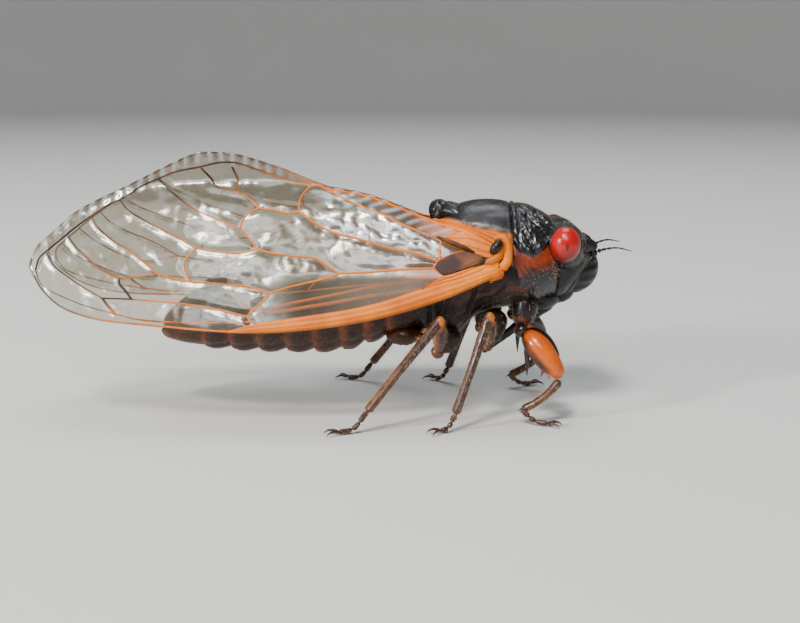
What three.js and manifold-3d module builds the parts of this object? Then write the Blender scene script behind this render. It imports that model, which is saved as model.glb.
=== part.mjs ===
// Periodical cicada, life size, standing with its wings folded like a roof.
// Millimetres, +X towards the head, +Y to the animal's left, +Z up, feet on z = 0.
import * as THREE from "three";
import { mergeVertices } from "three/addons/utils/BufferGeometryUtils.js";
import Module from "manifold-3d";

const wasm = await Module();
wasm.setup();

// Driving dimensions
const GAP = 0.1;                 // between neighbouring plates
const MEMBRANE = 0.5;            // thickness of a wing
const FOREWING = { length: 33, hinge: [6.85, 4.4, 11.5], roof: THREE.MathUtils.degToRad(63) };
const HINDWING = { start: 3.4, length: 18.8, inset: 0.68 };
const COSTA = { thickness: 0.95, end: 17.3 };
const FURROW = { slope: 0.48, offset: -0.3, end: 12.3, inward: 2, rise: 0.56, from: 1, full: 6 };
const CREST = { from: 3, curl: 0.12, sink: 0.21, apart: 0.32, soft: 0.5 };
const CENTRE_X = 4.887;          // moves the middle of the whole animal onto x = 0
const COLLAR_X = 7.8;            // rear edge of the pronotum
const NECK_X = 10.95;            // rear edge of the head
const WAIST_X = 1.2;             // front edge of the abdomen
const METANOTUM_X = 2.2;
const SEAM_Z = { pronotum: 9.7, mesonotum: 10.4 };
const SEGMENT_EDGES = [WAIST_X, -0.9, -2.5, -4.2, -6.2, -8.2, -10.2, -12.2, -14.2];
const TAIL_X = -17.2;
const EYE = { centre: [11.45, 3.45, 12.55], radii: [1.05, 1.05, 1.26] };
const OPERCULUM = { centre: [0.35, 1.75, 5.85], radii: [1.35, 1.45, 0.75] };
const OCELLI = {
  radius: 0.3,
  centres: { middle: [13.15, 0, 12.85], right: [12.6, -0.55, 13.2], left: [12.6, 0.55, 13.2] },
};
const CROSS = {
  centre: [2.75, 0, 14.45],
  radii: [0.75, 0.8, 0.8],
  arms: [
    [[2.9, 0, 14.6], [3.5, 0.75, 14.4], [4.2, 1.35, 14.1]],
    [[2.7, 0, 14.4], [2.3, 0.8, 13.7], [2.0, 1.5, 12.9]],
  ],
  girth: [0.42, 0.38, 0.3],
  foot: 12.9,
};
const BEAK = { path: [[11.0, 0, 7.75], [8.9, 0, 6.3], [6.1, 0, 4.05]], girth: [0.55, 0.4, 0.26] };
const CLYPEUS = { centre: [12.35, 0, 10.45], radii: [2.0, 1.65, 1.95] };
const CHIN = { path: [[12.3, 0, 9.3], [11.7, 0, 8.6], [11.15, 0, 8.05]], girth: [0.95, 0.8, 0.6] };
const ANTENNA = {
  path: [[13.75, -1.25, 11.65], [14.5, -1.6, 11.95], [15.3, -1.95, 12.1], [16.3, -2.3, 11.9]],
  girth: [0.32, 0.28, 0.25, 0.25],
};
const SOLE_Z = 0.4;              // height of the middle of each foot
const FOOT_GIRTH = [0.27, 0.32, 0.3];
const CLAW = {
  reach: [0, 0.5, 0.95],
  lift: [0, 0.05, -0.04],
  apart: 0.12,
  splay: 0.3,
  girth: [0.25, 0.22, 0.12],
};
const SPINE = { place: 0.22, lean: 0.15, length: 1.75, girth: [0.32, 0.25, 0.1] };
const BIG = 60;                  // a cutting block larger than the animal

const COLOURS = {
  black: [0x14, 0x13, 0x16, 0.35],
  belly: [0x3a, 0x1d, 0x10, 0.45],
  orange: [0xd9, 0x6a, 0x12, 0.35],
  leg: [0x8a, 0x3c, 0x12, 0.4],
  wing: [0xd8, 0xc2, 0x9a, 0.2],
  eye: [0xd8, 0x14, 0x10, 0.15],
};

const materials = Object.fromEntries(
  Object.entries(COLOURS).map(([name, [r, g, b, roughness]]) => [
    name,
    new THREE.MeshStandardMaterial({
      color: new THREE.Color(r / 255, g / 255, b / 255),
      roughness,
      metalness: 0,
    }),
  ]),
);

// Solids in and out of the boolean library
function toSolid(geometry) {
  const bare = geometry.clone();
  bare.deleteAttribute("normal");
  bare.deleteAttribute("uv");
  const merged = mergeVertices(bare, 1e-4);
  return new wasm.Manifold(
    new wasm.Mesh({
      numProp: 3,
      vertProperties: merged.attributes.position.array,
      triVerts: new Uint32Array(merged.index.array),
    }),
  );
}

function toGeometry(made) {
  const { numProp, numVert, vertProperties, triVerts } = made.getMesh();
  const points = new Float32Array(numVert * 3);
  for (let i = 0; i < numVert; i++) {
    points.set(vertProperties.subarray(i * numProp, i * numProp + 3), i * 3);
  }
  const geometry = new THREE.BufferGeometry();
  geometry.setAttribute("position", new THREE.BufferAttribute(points, 3));
  geometry.setIndex(new THREE.BufferAttribute(new Uint32Array(triVerts), 1));
  return geometry;
}

function reshape(geometry, move) {
  const place = geometry.attributes.position;
  const point = new THREE.Vector3();
  for (let i = 0; i < place.count; i++) {
    point.fromBufferAttribute(place, i);
    place.setXYZ(i, ...move(point));
  }
  return geometry;
}

function block(low, high) {
  const size = high.map((value, i) => value - low[i]);
  const middle = high.map((value, i) => (value + low[i]) / 2);
  return toSolid(new THREE.BoxGeometry(...size).translate(...middle));
}

function ball(centre, radii, across = 16, down = 10) {
  return new THREE.SphereGeometry(1, across, down).scale(...radii).translate(...centre);
}

// A smooth curve of value against distance, through a few named stations
function profile(stations) {
  const curve = new THREE.CatmullRomCurve3(
    stations.map(([x, value]) => new THREE.Vector3(x, value, 0)),
    false,
    "centripetal",
  );
  const samples = curve.getPoints(stations.length * 24);
  return (x) => {
    if (x <= samples[0].x) return samples[0].y;
    const next = samples.findIndex((sample) => sample.x >= x);
    if (next < 0) return samples[samples.length - 1].y;
    const a = samples[next - 1];
    const b = samples[next];
    return a.y + ((b.y - a.y) * (x - a.x)) / Math.max(b.x - a.x, 1e-9);
  };
}

// A closed body along X whose outline in side and top view follows four profiles
function loft(outline, from, to, steps, sides, { swell = 0, grow = 0 } = {}) {
  const { back, belly, half, middle, square = 1 } = outline;
  const bulge = (t) => 1 + swell * (t - 0.5);
  return reshape(new THREE.CylinderGeometry(1, 1, 1, sides, steps), ({ x, y, z }) => {
    const t = 0.5 - y;
    const at = to + (from - to) * (y + 0.5);
    const angle = Math.atan2(x, z);
    const radius = Math.hypot(x, z) * bulge(t);
    const across = Math.sign(Math.cos(angle)) * Math.abs(Math.cos(angle)) ** square;
    const upward = Math.sign(Math.sin(angle)) * Math.abs(Math.sin(angle)) ** square;
    const centre = middle(at);
    const reach = upward > 0 ? back(at) - centre : centre - belly(at);
    return [at, radius * across * (half(at) + grow), centre + radius * upward * (reach + grow)];
  });
}

// A tapering limb along a smooth path, with a radius at each of its points
function limb(points, radii, steps = 6, sides = 8) {
  const path = new THREE.CatmullRomCurve3(points.map((p) => new THREE.Vector3(...p)));
  const { tangents, normals, binormals } = path.computeFrenetFrames(steps, false);
  const girth = profile(radii.map((radius, i) => [i / (radii.length - 1), radius]));
  return reshape(new THREE.CylinderGeometry(1, 1, 1, sides, steps), ({ x, y, z }) => {
    const t = y + 0.5;
    const frame = Math.round(t * steps);
    const at = path.getPointAt(t);
    at.addScaledVector(normals[frame], z * girth(t));
    at.addScaledVector(binormals[frame], x * girth(t));
    return at.toArray();
  });
}

// Side and top outlines of the trunk
const abdomen = {
  back: profile([[-17.3, 6.5], [-16.6, 7.3], [-14.2, 9.2], [-10.2, 11.3], [-5, 12.5], [1.3, 12.4]]),
  belly: profile([[-17.3, 5.4], [-16.4, 5.0], [-14.2, 4.7], [-9, 4.4], [-4.2, 4.5], [-1.5, 5.3], [1.3, 6.0]]),
  half: profile([[-17.3, 0.5], [-16.6, 1.1], [-14.2, 2.45], [-10.2, 3.45], [-4, 3.9], [1.3, 3.6]]),
  middle: profile([[-17.3, 5.9], [-14.2, 6.7], [-8, 7.8], [1.3, 8.6]]),
};
const thorax = {
  back: profile([[1.2, 12.7], [2.2, 13.3], [3.2, 14.1], [4.2, 14.7], [5.6, 15.1], [7, 15.15], [7.8, 15.05]]),
  belly: profile([[1.2, 5.9], [2.6, 5.3], [4, 5.4], [5.8, 7.1], [7.8, 7.6]]),
  half: profile([[1.2, 3.6], [3, 3.65], [5, 3.85], [7.8, 4.1]]),
  middle: profile([[1.2, 8.7], [7.8, 9.8]]),
};
const collar = {
  back: profile([[7.8, 15.1], [9, 14.9], [10, 14.5], [10.95, 13.9]]),
  belly: profile([[7.8, 7.7], [9.5, 7.9], [10.95, 8.3]]),
  half: profile([[7.8, 4.3], [9, 4.25], [10, 3.95], [10.95, 3.5]]),
  middle: profile([[7.8, 10.3], [10.95, 10.9]]),
};
const face = {
  back: profile([[10.9, 13.5], [12.1, 13.35], [12.9, 13.0], [13.5, 12.5], [13.9, 12.0]]),
  belly: profile([[10.9, 8.3], [11.6, 8.5], [12.6, 9.6], [13.9, 11.2]]),
  half: profile([[10.9, 2.9], [11.8, 2.85], [12.8, 2.3], [13.5, 1.5], [13.9, 0.9]]),
  middle: profile([[10.9, 11.2], [13.9, 11.6]]),
  square: 0.75,
};

// Wing outlines, as height above the hinge line against distance behind the hinge
const forewingLow = profile([
  [0, -0.9], [4, -2.7], [9.1, -4.2], [16, -5.05], [23.6, -4.7],
  [28.2, -4.3], [30.6, -3.5], [32.1, -2.25], [33, -0.8],
]);
const forewingTop = profile([
  [0, 1.1], [2.8, 2.65], [8.8, 5.0], [12.6, 5.8], [15.6, 7.0], [18.75, 8.0], [20.3, 8.15], [21.6, 7.9],
  [25.6, 5.9], [29.5, 3.85], [31.6, 1.9], [32.6, 0.9], [33, -0.2],
]);
const hindwingLow = profile([[3.4, -1.5], [8, -2.1], [13, -3.0], [16, -3.4], [17.8, -2.9], [18.8, -1.6]]);
const hindwingTop = profile([
  [3.4, 0.1], [6, 1.6], [9, 2.7], [12, 3.1], [15, 2.6], [17.6, 1.0], [18.8, -0.8],
]);
// How far the wing stands out from the midline at the hinge's height, against distance
const spread = profile([[0, 4.4], [4, 4.3], [12, 3.95], [21, 3.95], [27, 3.1], [33, 2.2]]);

function wingPoint(u, v) {
  const [hingeX, , hingeZ] = FOREWING.hinge;
  const lean = 0.45 + 0.05 * Math.exp(-(((u - 12) / 5) ** 2));
  const furrow = FURROW.offset + FURROW.slope * u;
  const fold = u < FURROW.end ? Math.max(v - furrow, 0) : 0;
  const flat = v - fold;
  const steep = Math.sin(FOREWING.roof);
  const bend = THREE.MathUtils.smoothstep(u, FURROW.from, FURROW.full);
  const inward = THREE.MathUtils.lerp(lean, FURROW.inward, bend);
  const rise = THREE.MathUtils.lerp(steep, FURROW.rise, bend);
  const curl = CREST.curl * Math.max(flat - CREST.from, 0) ** 2;
  const reach = spread(u) - lean * flat - inward * fold;
  const room = reach - curl - CREST.apart;
  const out = CREST.apart + (room + Math.hypot(room, CREST.soft)) / 2;
  const up = hingeZ + steep * flat + rise * fold - CREST.sink * (reach - out);
  return new THREE.Vector3(hingeX - u, -out, up);
}

function wingNormal(u, v) {
  const step = 0.05;
  const along = wingPoint(u + step, v).sub(wingPoint(u - step, v));
  const across = wingPoint(u, v + step).sub(wingPoint(u, v - step));
  return across.cross(along).normalize();
}

// A curved plate between two outlines; thickness may change from the low edge up
function wingPlate(low, top, from, to, rows, steps, inset, thickness) {
  const box = new THREE.BoxGeometry(1, 1, 1, steps, rows.length - 1, 1);
  return reshape(box, ({ x, y, z }) => {
    const share = Math.sin(((x + 0.5) * Math.PI) / 2);
    const u = from + (to - from) * share;
    const row = rows[Math.round((y + 0.5) * (rows.length - 1))];
    const v = low(u) + (top(u) - low(u)) * row;
    const depth = -z * thickness(u, row) - inset;
    return wingPoint(u, v).addScaledVector(wingNormal(u, v), depth).toArray();
  });
}

function forewing() {
  const rows = [0, 0.09, 0.3, 0.54, 0.78, 1];
  const rim = (u, row) => {
    const fade = THREE.MathUtils.smoothstep(COSTA.end - u, 0, 3);
    return row < 0.1 ? MEMBRANE + (COSTA.thickness - MEMBRANE) * fade : MEMBRANE;
  };
  return wingPlate(forewingLow, forewingTop, 0, FOREWING.length, rows, 20, 0, rim);
}

function hindwing() {
  const { start, length, inset } = HINDWING;
  return wingPlate(hindwingLow, hindwingTop, start, length, [0, 0.33, 0.67, 1], 14, inset, () => MEMBRANE);
}

// Legs of the right side, from the hip down; each foot lies flat on z = 0
const LEGS = {
  fore: {
    hip: [8.75, -2.0, 8.3], trochanter: [8.5, -2.75, 6.6], knee: [11.35, -4.4, 3.35],
    ankle: [8.55, -4.7, 1.05], toe: [10.3, -5.3, 0.22],
    coxa: [0.95, 0.9, 0.6], femur: [0.5, 0.85, 0.8, 0.45], tibia: [0.36, 0.3, 0.32], spine: true,
  },
  mid: {
    hip: [6.75, -2.3, 7.2], trochanter: [6.15, -2.85, 5.3], knee: [6.1, -5.2, 7.8],
    ankle: [3.8, -6.3, 1.2], toe: [2.8, -6.9, 0.22],
    coxa: [0.9, 0.8, 0.5], femur: [0.42, 0.5, 0.5, 0.42], tibia: [0.36, 0.28, 0.3],
  },
  hind: {
    hip: [3.5, -2.3, 5.9], trochanter: [2.7, -2.75, 4.75], knee: [2.7, -5.4, 7.55],
    ankle: [-2.25, -6.6, 1.5], toe: [-4.2, -7.2, 0.22],
    coxa: [0.85, 0.8, 0.5], femur: [0.42, 0.52, 0.52, 0.42], tibia: [0.38, 0.28, 0.3],
  },
};

function between(a, b, share) {
  return a.map((value, i) => value + (b[i] - value) * share);
}

// A point a set distance short of b on the way from a
function shortOf(a, b, distance) {
  const length = Math.hypot(...a.map((value, i) => b[i] - value));
  return between(a, b, 1 - distance / length);
}

function foot({ ankle, toe }, shin) {
  const sole = [(ankle[0] + toe[0]) / 2, (ankle[1] + toe[1]) / 2, SOLE_Z];
  let made = toSolid(limb([ankle, sole, toe], FOOT_GIRTH, 3, 6));
  const ahead = new THREE.Vector3(...toe).sub(new THREE.Vector3(...sole)).setZ(0).normalize();
  const aside = new THREE.Vector3(-ahead.y, ahead.x, 0);
  for (const side of [-1, 1]) {
    const hook = CLAW.reach.map((reach, i) =>
      new THREE.Vector3(...toe)
        .addScaledVector(ahead, reach)
        .addScaledVector(aside, side * (CLAW.apart + CLAW.splay * reach))
        .setZ(toe[2] + CLAW.lift[i])
        .toArray(),
    );
    made = made.add(toSolid(limb(hook, CLAW.girth, 2, 4)));
  }
  return biggest(made.subtract(shin).subtract(block([-BIG, -BIG, -BIG], [BIG, BIG, 0])));
}

function joint(from, to, radii, steps, sides, grow = 0) {
  const path = [from, between(from, to, 0.5), to];
  return toSolid(limb(path, radii.map((radius) => radius + grow), steps, sides));
}

function biggest(made) {
  return made.decompose().sort((a, b) => b.volume() - a.volume())[0];
}

function legSolids({ hip, trochanter, knee, ankle, coxa, femur, tibia, spine, toe }) {
  const thighStart = shortOf(knee, trochanter, GAP);
  const shinEnd = shortOf(knee, ankle, GAP);
  let thigh = joint(thighStart, knee, femur, 6, 8);
  if (spine) {
    const root = between(thighStart, knee, SPINE.place);
    const tip = [root[0] - SPINE.lean, root[1], root[2] - SPINE.length];
    thigh = thigh.add(joint(root, tip, SPINE.girth, 2, 6));
  }
  const socket = joint(hip, trochanter, coxa, 3, 8, GAP);
  const shin = joint(knee, shinEnd, tibia, 4, 8).subtract(joint(thighStart, knee, femur, 6, 8, GAP));
  return {
    coxa: joint(hip, trochanter, coxa, 3, 8),
    femur: biggest(thigh.subtract(socket)),
    tibia: biggest(shin),
    tarsus: foot({ ankle, toe }, joint(knee, shinEnd, tibia, 4, 8, GAP)),
  };
}

const group = new THREE.Group();
group.position.x = CENTRE_X;

function put(name, made, material) {
  const mesh = new THREE.Mesh(toGeometry(made), materials[material]);
  mesh.name = name;
  group.add(mesh);
}

// The right one as made, and its mirror image on the left
function putPair(name, made, material) {
  const geometry = toGeometry(made);
  for (const [side, scale] of [["right", 1], ["left", -1]]) {
    const mesh = new THREE.Mesh(geometry, materials[material]);
    mesh.name = `${name}_${side}`;
    mesh.scale.y = scale;
    group.add(mesh);
  }
}

function above(z) {
  return block([-BIG, -BIG, z + GAP / 2], [BIG, BIG, BIG]);
}

function below(z) {
  return block([-BIG, -BIG, -BIG], [BIG, BIG, z - GAP / 2]);
}

function addAbdomen() {
  SEGMENT_EDGES.slice(1).forEach((rear, i) => {
    const made = toSolid(loft(abdomen, SEGMENT_EDGES[i] - GAP / 2, rear + GAP / 2, 1, 18, { swell: 0.03 }));
    put(`abdomen_segment_${i + 1}`, i < 2 ? made.subtract(opercula()) : made, "belly");
  });
  const last = SEGMENT_EDGES[SEGMENT_EDGES.length - 1];
  put("abdomen_tip", toSolid(loft(abdomen, last - GAP / 2, TAIL_X, 4, 18)), "belly");
}

function operculum(side, grow = 0) {
  const [x, y, z] = OPERCULUM.centre;
  return toSolid(ball([x, side * y, z], OPERCULUM.radii.map((radius) => radius + grow), 12, 6));
}

function opercula() {
  return operculum(-1, GAP).add(operculum(1, GAP));
}

// The cross-shaped ridge behind the mesonotum
function cross(grow = 0) {
  const girth = CROSS.girth.map((radius) => radius + grow);
  let made = toSolid(ball(CROSS.centre, CROSS.radii.map((radius) => radius + grow), 8, 6));
  for (const side of [-1, 1]) {
    for (const arm of CROSS.arms) {
      made = made.add(toSolid(limb(arm.map(([x, y, z]) => [x, side * y, z]), girth, 2, 5)));
    }
  }
  return made;
}

function addThorax(hipSockets) {
  const middle = toSolid(loft(thorax, COLLAR_X - GAP / 2, METANOTUM_X + GAP / 2, 6, 20)).subtract(hipSockets);
  const ridge = cross(GAP);
  put("mesonotum", middle.intersect(above(SEAM_Z.mesonotum)).subtract(ridge), "black");
  put("mesothorax_underside", middle.intersect(below(SEAM_Z.mesonotum)), "belly");
  const rear = toSolid(loft(thorax, METANOTUM_X - GAP / 2, WAIST_X + GAP / 2, 1, 18));
  const cut = rear.subtract(opercula()).subtract(ridge).subtract(hipSockets);
  put("metathorax", biggest(cut), "belly");
  put("cruciform_elevation", cross().intersect(above(CROSS.foot)), "black");
  const front = toSolid(loft(collar, NECK_X - GAP / 2, COLLAR_X + GAP / 2, 4, 20)).subtract(hipSockets);
  const beak = rostrum(GAP);
  put("pronotum", front.intersect(above(SEAM_Z.pronotum)), "black");
  put("prothorax_underside", front.intersect(below(SEAM_Z.pronotum)).subtract(beak), "belly");
}

function rostrum(grow = 0) {
  return toSolid(limb(BEAK.path, BEAK.girth.map((radius) => radius + grow), 6, 8));
}

// The bulging, grooved front of the face; the clypeus narrows down to the beak
function postclypeus(grow = 0) {
  const bulb = ball(CLYPEUS.centre, CLYPEUS.radii.map((radius) => radius + grow), 12, 9);
  const chin = limb(CHIN.path, CHIN.girth.map((radius) => radius + grow), 3, 10);
  return toSolid(bulb).add(toSolid(chin));
}

function eyeBall(side, grow = 0) {
  const [x, y, z] = EYE.centre;
  return toSolid(ball([x, side * y, z], EYE.radii.map((radius) => radius + grow), 12, 9));
}

function antenna(side, grow = 0) {
  const path = ANTENNA.path.map(([x, y, z]) => [x, -side * y, z]);
  return toSolid(limb(path, ANTENNA.girth.map((radius) => radius + grow), 6, 6));
}

function ocellus(centre, grow = 0) {
  return toSolid(ball(centre, Array(3).fill(OCELLI.radius + grow), 8, 5));
}

function addHead() {
  let skull = toSolid(loft(face, 13.9, NECK_X + GAP / 2, 7, 20)).subtract(postclypeus(GAP));
  for (const side of [-1, 1]) {
    skull = skull.subtract(eyeBall(side, GAP)).subtract(antenna(side, GAP));
  }
  for (const centre of Object.values(OCELLI.centres)) {
    skull = skull.subtract(ocellus(centre, GAP / 2));
  }
  put("head", biggest(skull), "black");
  const neck = block([NECK_X + GAP / 2, -BIG, -BIG], [BIG, BIG, BIG]);
  put("postclypeus", postclypeus().intersect(neck).subtract(rostrum(GAP)), "black");
  const socket = toSolid(loft(collar, NECK_X + GAP, COLLAR_X, 4, 20, { grow: GAP }));
  putPair("eye", eyeBall(-1).subtract(socket), "eye");
  putPair("antenna", antenna(-1), "black");
  for (const [name, centre] of Object.entries(OCELLI.centres)) {
    put(`ocellus_${name}`, ocellus(centre), "eye");
  }
  put("rostrum", rostrum(), "black");
}

function addWings() {
  putPair("forewing", toSolid(forewing()), "wing");
  putPair("hindwing", toSolid(hindwing()), "wing");
}

function addLegs() {
  let sockets = null;
  for (const [name, leg] of Object.entries(LEGS)) {
    const made = legSolids(leg);
    for (const [piece, shape] of Object.entries(made)) {
      const tint = piece === "tibia" || piece === "femur" ? "leg" : "belly";
      putPair(`${name}_${piece}`, shape, tint);
    }
    const hip = [leg.hip, between(leg.hip, leg.trochanter, 0.5), leg.trochanter];
    for (const side of [1, -1]) {
      const path = hip.map(([x, y, z]) => [x, side * y, z]);
      const socket = toSolid(limb(path, leg.coxa.map((radius) => radius + GAP), 3, 8));
      sockets = sockets ? sockets.add(socket) : socket;
    }
  }
  return sockets;
}

const hipSockets = addLegs();
addAbdomen();
addThorax(hipSockets);
addHead();
putPair("operculum", operculum(-1), "belly");
addWings();

export default group;
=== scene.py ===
import math

import bmesh
import bpy
import numpy as np
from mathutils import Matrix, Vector, noise
from mathutils.kdtree import KDTree


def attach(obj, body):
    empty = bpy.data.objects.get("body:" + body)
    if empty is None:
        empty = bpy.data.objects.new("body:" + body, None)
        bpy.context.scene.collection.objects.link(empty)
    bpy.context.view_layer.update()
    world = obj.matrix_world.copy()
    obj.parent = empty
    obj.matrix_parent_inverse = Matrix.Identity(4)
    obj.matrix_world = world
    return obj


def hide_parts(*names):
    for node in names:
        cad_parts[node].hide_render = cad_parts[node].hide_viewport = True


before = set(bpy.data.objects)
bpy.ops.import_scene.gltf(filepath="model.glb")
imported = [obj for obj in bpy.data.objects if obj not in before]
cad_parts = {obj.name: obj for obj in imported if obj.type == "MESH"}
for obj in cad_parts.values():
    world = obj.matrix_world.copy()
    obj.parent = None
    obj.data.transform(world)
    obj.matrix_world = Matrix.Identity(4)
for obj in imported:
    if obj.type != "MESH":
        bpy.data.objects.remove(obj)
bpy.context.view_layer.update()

bl_info = {
    "name": "Periodical Cicada",
    "version": (1, 0, 0),
    "blender": (4, 5, 0),
    "location": "3D View > Sidebar > Cicada",
    "description": "Builds the cuticle, wings, eyes and bristles of a life-size periodical cicada",
    "category": "Add Mesh",
}

# The insect is measured in millimetres from a point between its hips; the frame is in metres
MM = 0.001
CENTRE_X = 4.887
BODY = "root"
SIDES = (("right", 1), ("left", -1))

# Driving sizes, the same as the solids hold
HINGE = (6.85, 4.4, 11.5)
ROOF_RISE = math.sin(math.radians(63))
WING_LENGTH = 33.0
FURROW = {"slope": 0.48, "offset": -0.3, "end": 12.3, "inward": 2.0, "rise": 0.56, "from": 1.0, "full": 6.0}
CREST = {"from": 3.0, "curl": 0.12, "sink": 0.21, "apart": 0.32, "soft": 0.5}
HINDWING = {"start": 3.4, "end": 18.8, "inset": 0.5}
EYE_CENTRE = (11.45, 3.45, 12.55)
EYE_RADII = (1.05, 1.05, 1.26)
SIMPLE_EYES = {"middle": (13.1, 0, 12.72), "right": (12.55, -0.5, 13.0), "left": (12.55, 0.5, 13.0)}
SIMPLE_EYE_RADIUS = 0.24
SEGMENT_EDGES = (1.2, -0.9, -2.5, -4.2, -6.2, -8.2, -10.2, -12.2, -14.2)
TAIL_X = -17.2
# No piece rises above this height
TOP_Z = 18.7

# The photo's view of the insect
VIEW = {"distance": 0.085, "height": 0.0071, "elevation": math.radians(12), "lens": 52.4}
FILM_WIDTH = 36.0
PHOTO_SIZE = (800, 623)
HINGE_PIXEL = (500, 262)
PIXELS_PER_MM = 13.7


# Curves and profiles

def spline(points, count):
    """A smooth curve through points of any dimension, with centripetal spacing."""
    p = np.asarray(points, float)
    gaps = np.maximum(np.linalg.norm(np.diff(p, axis=0), axis=1), 1e-6) ** 0.5
    t = np.concatenate(([0.0], np.cumsum(gaps)))
    slope = np.gradient(p, t, axis=0)
    at = np.linspace(0, t[-1], count)
    i = np.clip(np.searchsorted(t, at, side="right") - 1, 0, len(t) - 2)
    span = (t[i + 1] - t[i])[:, None]
    s = ((at - t[i])[:, None]) / span
    return (
        p[i] * (2 * s**3 - 3 * s**2 + 1)
        + p[i + 1] * (3 * s**2 - 2 * s**3)
        + slope[i] * span * (s**3 - 2 * s**2 + s)
        + slope[i + 1] * span * (s**3 - s**2)
    )


def profile(*stations):
    """A smooth function of one value through a few named stations."""
    line = spline(stations, len(stations) * 24)
    return lambda x: np.interp(x, line[:, 0], line[:, 1])


def smoothstep(low, high, value):
    t = np.clip((np.asarray(value, float) - low) / (high - low), 0, 1)
    return t * t * (3 - 2 * t)


def bell(value, centre, width):
    return np.exp(-(((value - centre) / width) ** 2))


def to_segment(x, y, start, end):
    """Distance from points to a straight stretch between two places."""
    ax, ay = start
    dx, dy = end[0] - ax, end[1] - ay
    t = np.clip(((x - ax) * dx + (y - ay) * dy) / (dx * dx + dy * dy), 0, 1)
    return np.hypot(x - ax - t * dx, y - ay - t * dy)


def roughness_field(points, size, stretch=(1, 1, 1)):
    """Smooth noise from -1 to 1 at each point, with bumps of about the given size."""
    scaled = points.reshape(-1, 3) / size * stretch
    values = [noise.noise(Vector(p)) for p in scaled]
    return np.array(values).reshape(points.shape[:-1])


# Surfaces made of a grid of points

def wrapped_normals(grid):
    """Unit normals of a grid that closes on itself along its second direction."""
    around = np.roll(grid, -1, axis=1) - np.roll(grid, 1, axis=1)
    along = np.gradient(grid, axis=0)
    normal = np.cross(along, around)
    middle = grid.mean(axis=1, keepdims=True)
    flip = np.sign((normal * (grid - middle)).sum(axis=(1, 2), keepdims=True))
    length = np.linalg.norm(normal, axis=2, keepdims=True)
    return normal * flip / np.maximum(length, 1e-12)


# Values that a patch may carry at its points: an accent, bristles, and a wing's painted sheen, brown places
# that are partly painted shade, and dull places
VALUES = ("tone", "hair", "milk", "brown", "dull")


def empty_patch():
    made = {"points": np.zeros((0, 3)), "faces": [], "uv": np.zeros((0, 2))}
    made.update({key: np.zeros(0) for key in VALUES})
    return made


def tube_patch(grid, tone=0.0, hair=0.0, dome=(0.0, 0.0), **others):
    """A closed patch from rings of points; each end closes on a pole, pushed out by its dome."""
    rows, sides = grid.shape[:2]
    shape = (rows, sides)
    points = grid.reshape(-1, 3)
    poles = []
    for row, step, push in ((0, 1, dome[0]), (rows - 1, -1, dome[1])):
        middle = grid[row].mean(axis=0)
        away = middle - grid[row + step].mean(axis=0)
        poles.append(middle + away / max(np.linalg.norm(away), 1e-9) * push)
    points = np.vstack([points, poles])
    faces = []
    for i in range(rows - 1):
        for j in range(sides):
            k = (j + 1) % sides
            faces.append((i * sides + j, i * sides + k, (i + 1) * sides + k, (i + 1) * sides + j))
    first, last = rows * sides, rows * sides + 1
    for j in range(sides):
        k = (j + 1) % sides
        faces.append((first, k, j))
        faces.append((last, (rows - 1) * sides + j, (rows - 1) * sides + k))
    along, around = np.meshgrid(np.linspace(0, 1, rows), np.linspace(0, 1, sides), indexing="ij")
    uv = np.stack([along.ravel(), around.ravel()], 1)
    uv = np.vstack([uv, [[0, 0.5], [1, 0.5]]])
    made = {"points": points, "faces": faces, "uv": uv}
    given = {"tone": tone, "hair": hair, **others}
    for key in VALUES:
        value = np.broadcast_to(given.get(key, 0.0), shape).ravel()
        made[key] = np.concatenate([value, [value[0], value[-1]]])
    return made


def join(*patches):
    """Several patches as one, each on its own strip of the unwrap."""
    whole = empty_patch()
    for i, patch in enumerate(patches):
        offset = len(whole["points"])
        whole["faces"] += [tuple(v + offset for v in face) for face in patch["faces"]]
        strip = (patch["uv"] * (1, 0.9) + (0, i)) / (1, len(patches))
        whole["uv"] = np.vstack([whole["uv"], strip])
        for key in ("points", *VALUES):
            whole[key] = np.concatenate([whole[key], patch[key]])
    return whole


def mirrored(patch, side):
    """The patch for one side: patches are made for the right side, where y is negative."""
    if side == 1:
        return patch
    copy = dict(patch)
    copy["points"] = patch["points"] * (1, -1, 1)
    copy["faces"] = [tuple(reversed(face)) for face in patch["faces"]]
    return copy


def both_faces(front, back):
    """A sheet's rows as closed rings: over its front face and back along its back face."""
    return np.concatenate([front, back[:, ::-1]], axis=1)


def loft(outline, start, end, rows, sides, relief=None, square=1.0, tone=None, hair=None, dome=(0.1, 0.1)):
    """A body along X from four profiles, with relief in millimetres as a function of x and angle.

    Angles are in degrees from the top, the same on both sides.
    """
    x = np.linspace(start, end, rows)[:, None]
    angle = np.linspace(-math.pi, math.pi, sides, endpoint=False)[None, :]
    across = np.sign(np.sin(angle)) * np.abs(np.sin(angle)) ** square
    upward = np.sign(np.cos(angle)) * np.abs(np.cos(angle)) ** square
    middle, back, belly, half = (outline[key](x) for key in ("middle", "back", "belly", "half"))
    reach = np.where(upward > 0, back - middle, middle - belly)
    grid = np.stack(np.broadcast_arrays(x, across * half, middle + upward * reach), -1)
    degrees = np.degrees(np.abs(angle))
    if relief is not None:
        grid = grid + wrapped_normals(grid) * relief(x, degrees, grid)[..., None]
    value = {}
    for key, rule in (("tone", tone), ("hair", hair)):
        value[key] = rule(x, degrees, grid) if callable(rule) else (rule or 0.0)
    return tube_patch(grid, value["tone"], value["hair"], dome)


def frames_along(path, reference):
    """Tangent, side and lift directions along a path, held steady by a reference direction."""
    tangent = np.gradient(path, axis=0)
    tangent /= np.linalg.norm(tangent, axis=1, keepdims=True)
    side = np.cross(tangent, reference)
    side /= np.linalg.norm(side, axis=1, keepdims=True)
    return tangent, side, np.cross(side, tangent)


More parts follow.
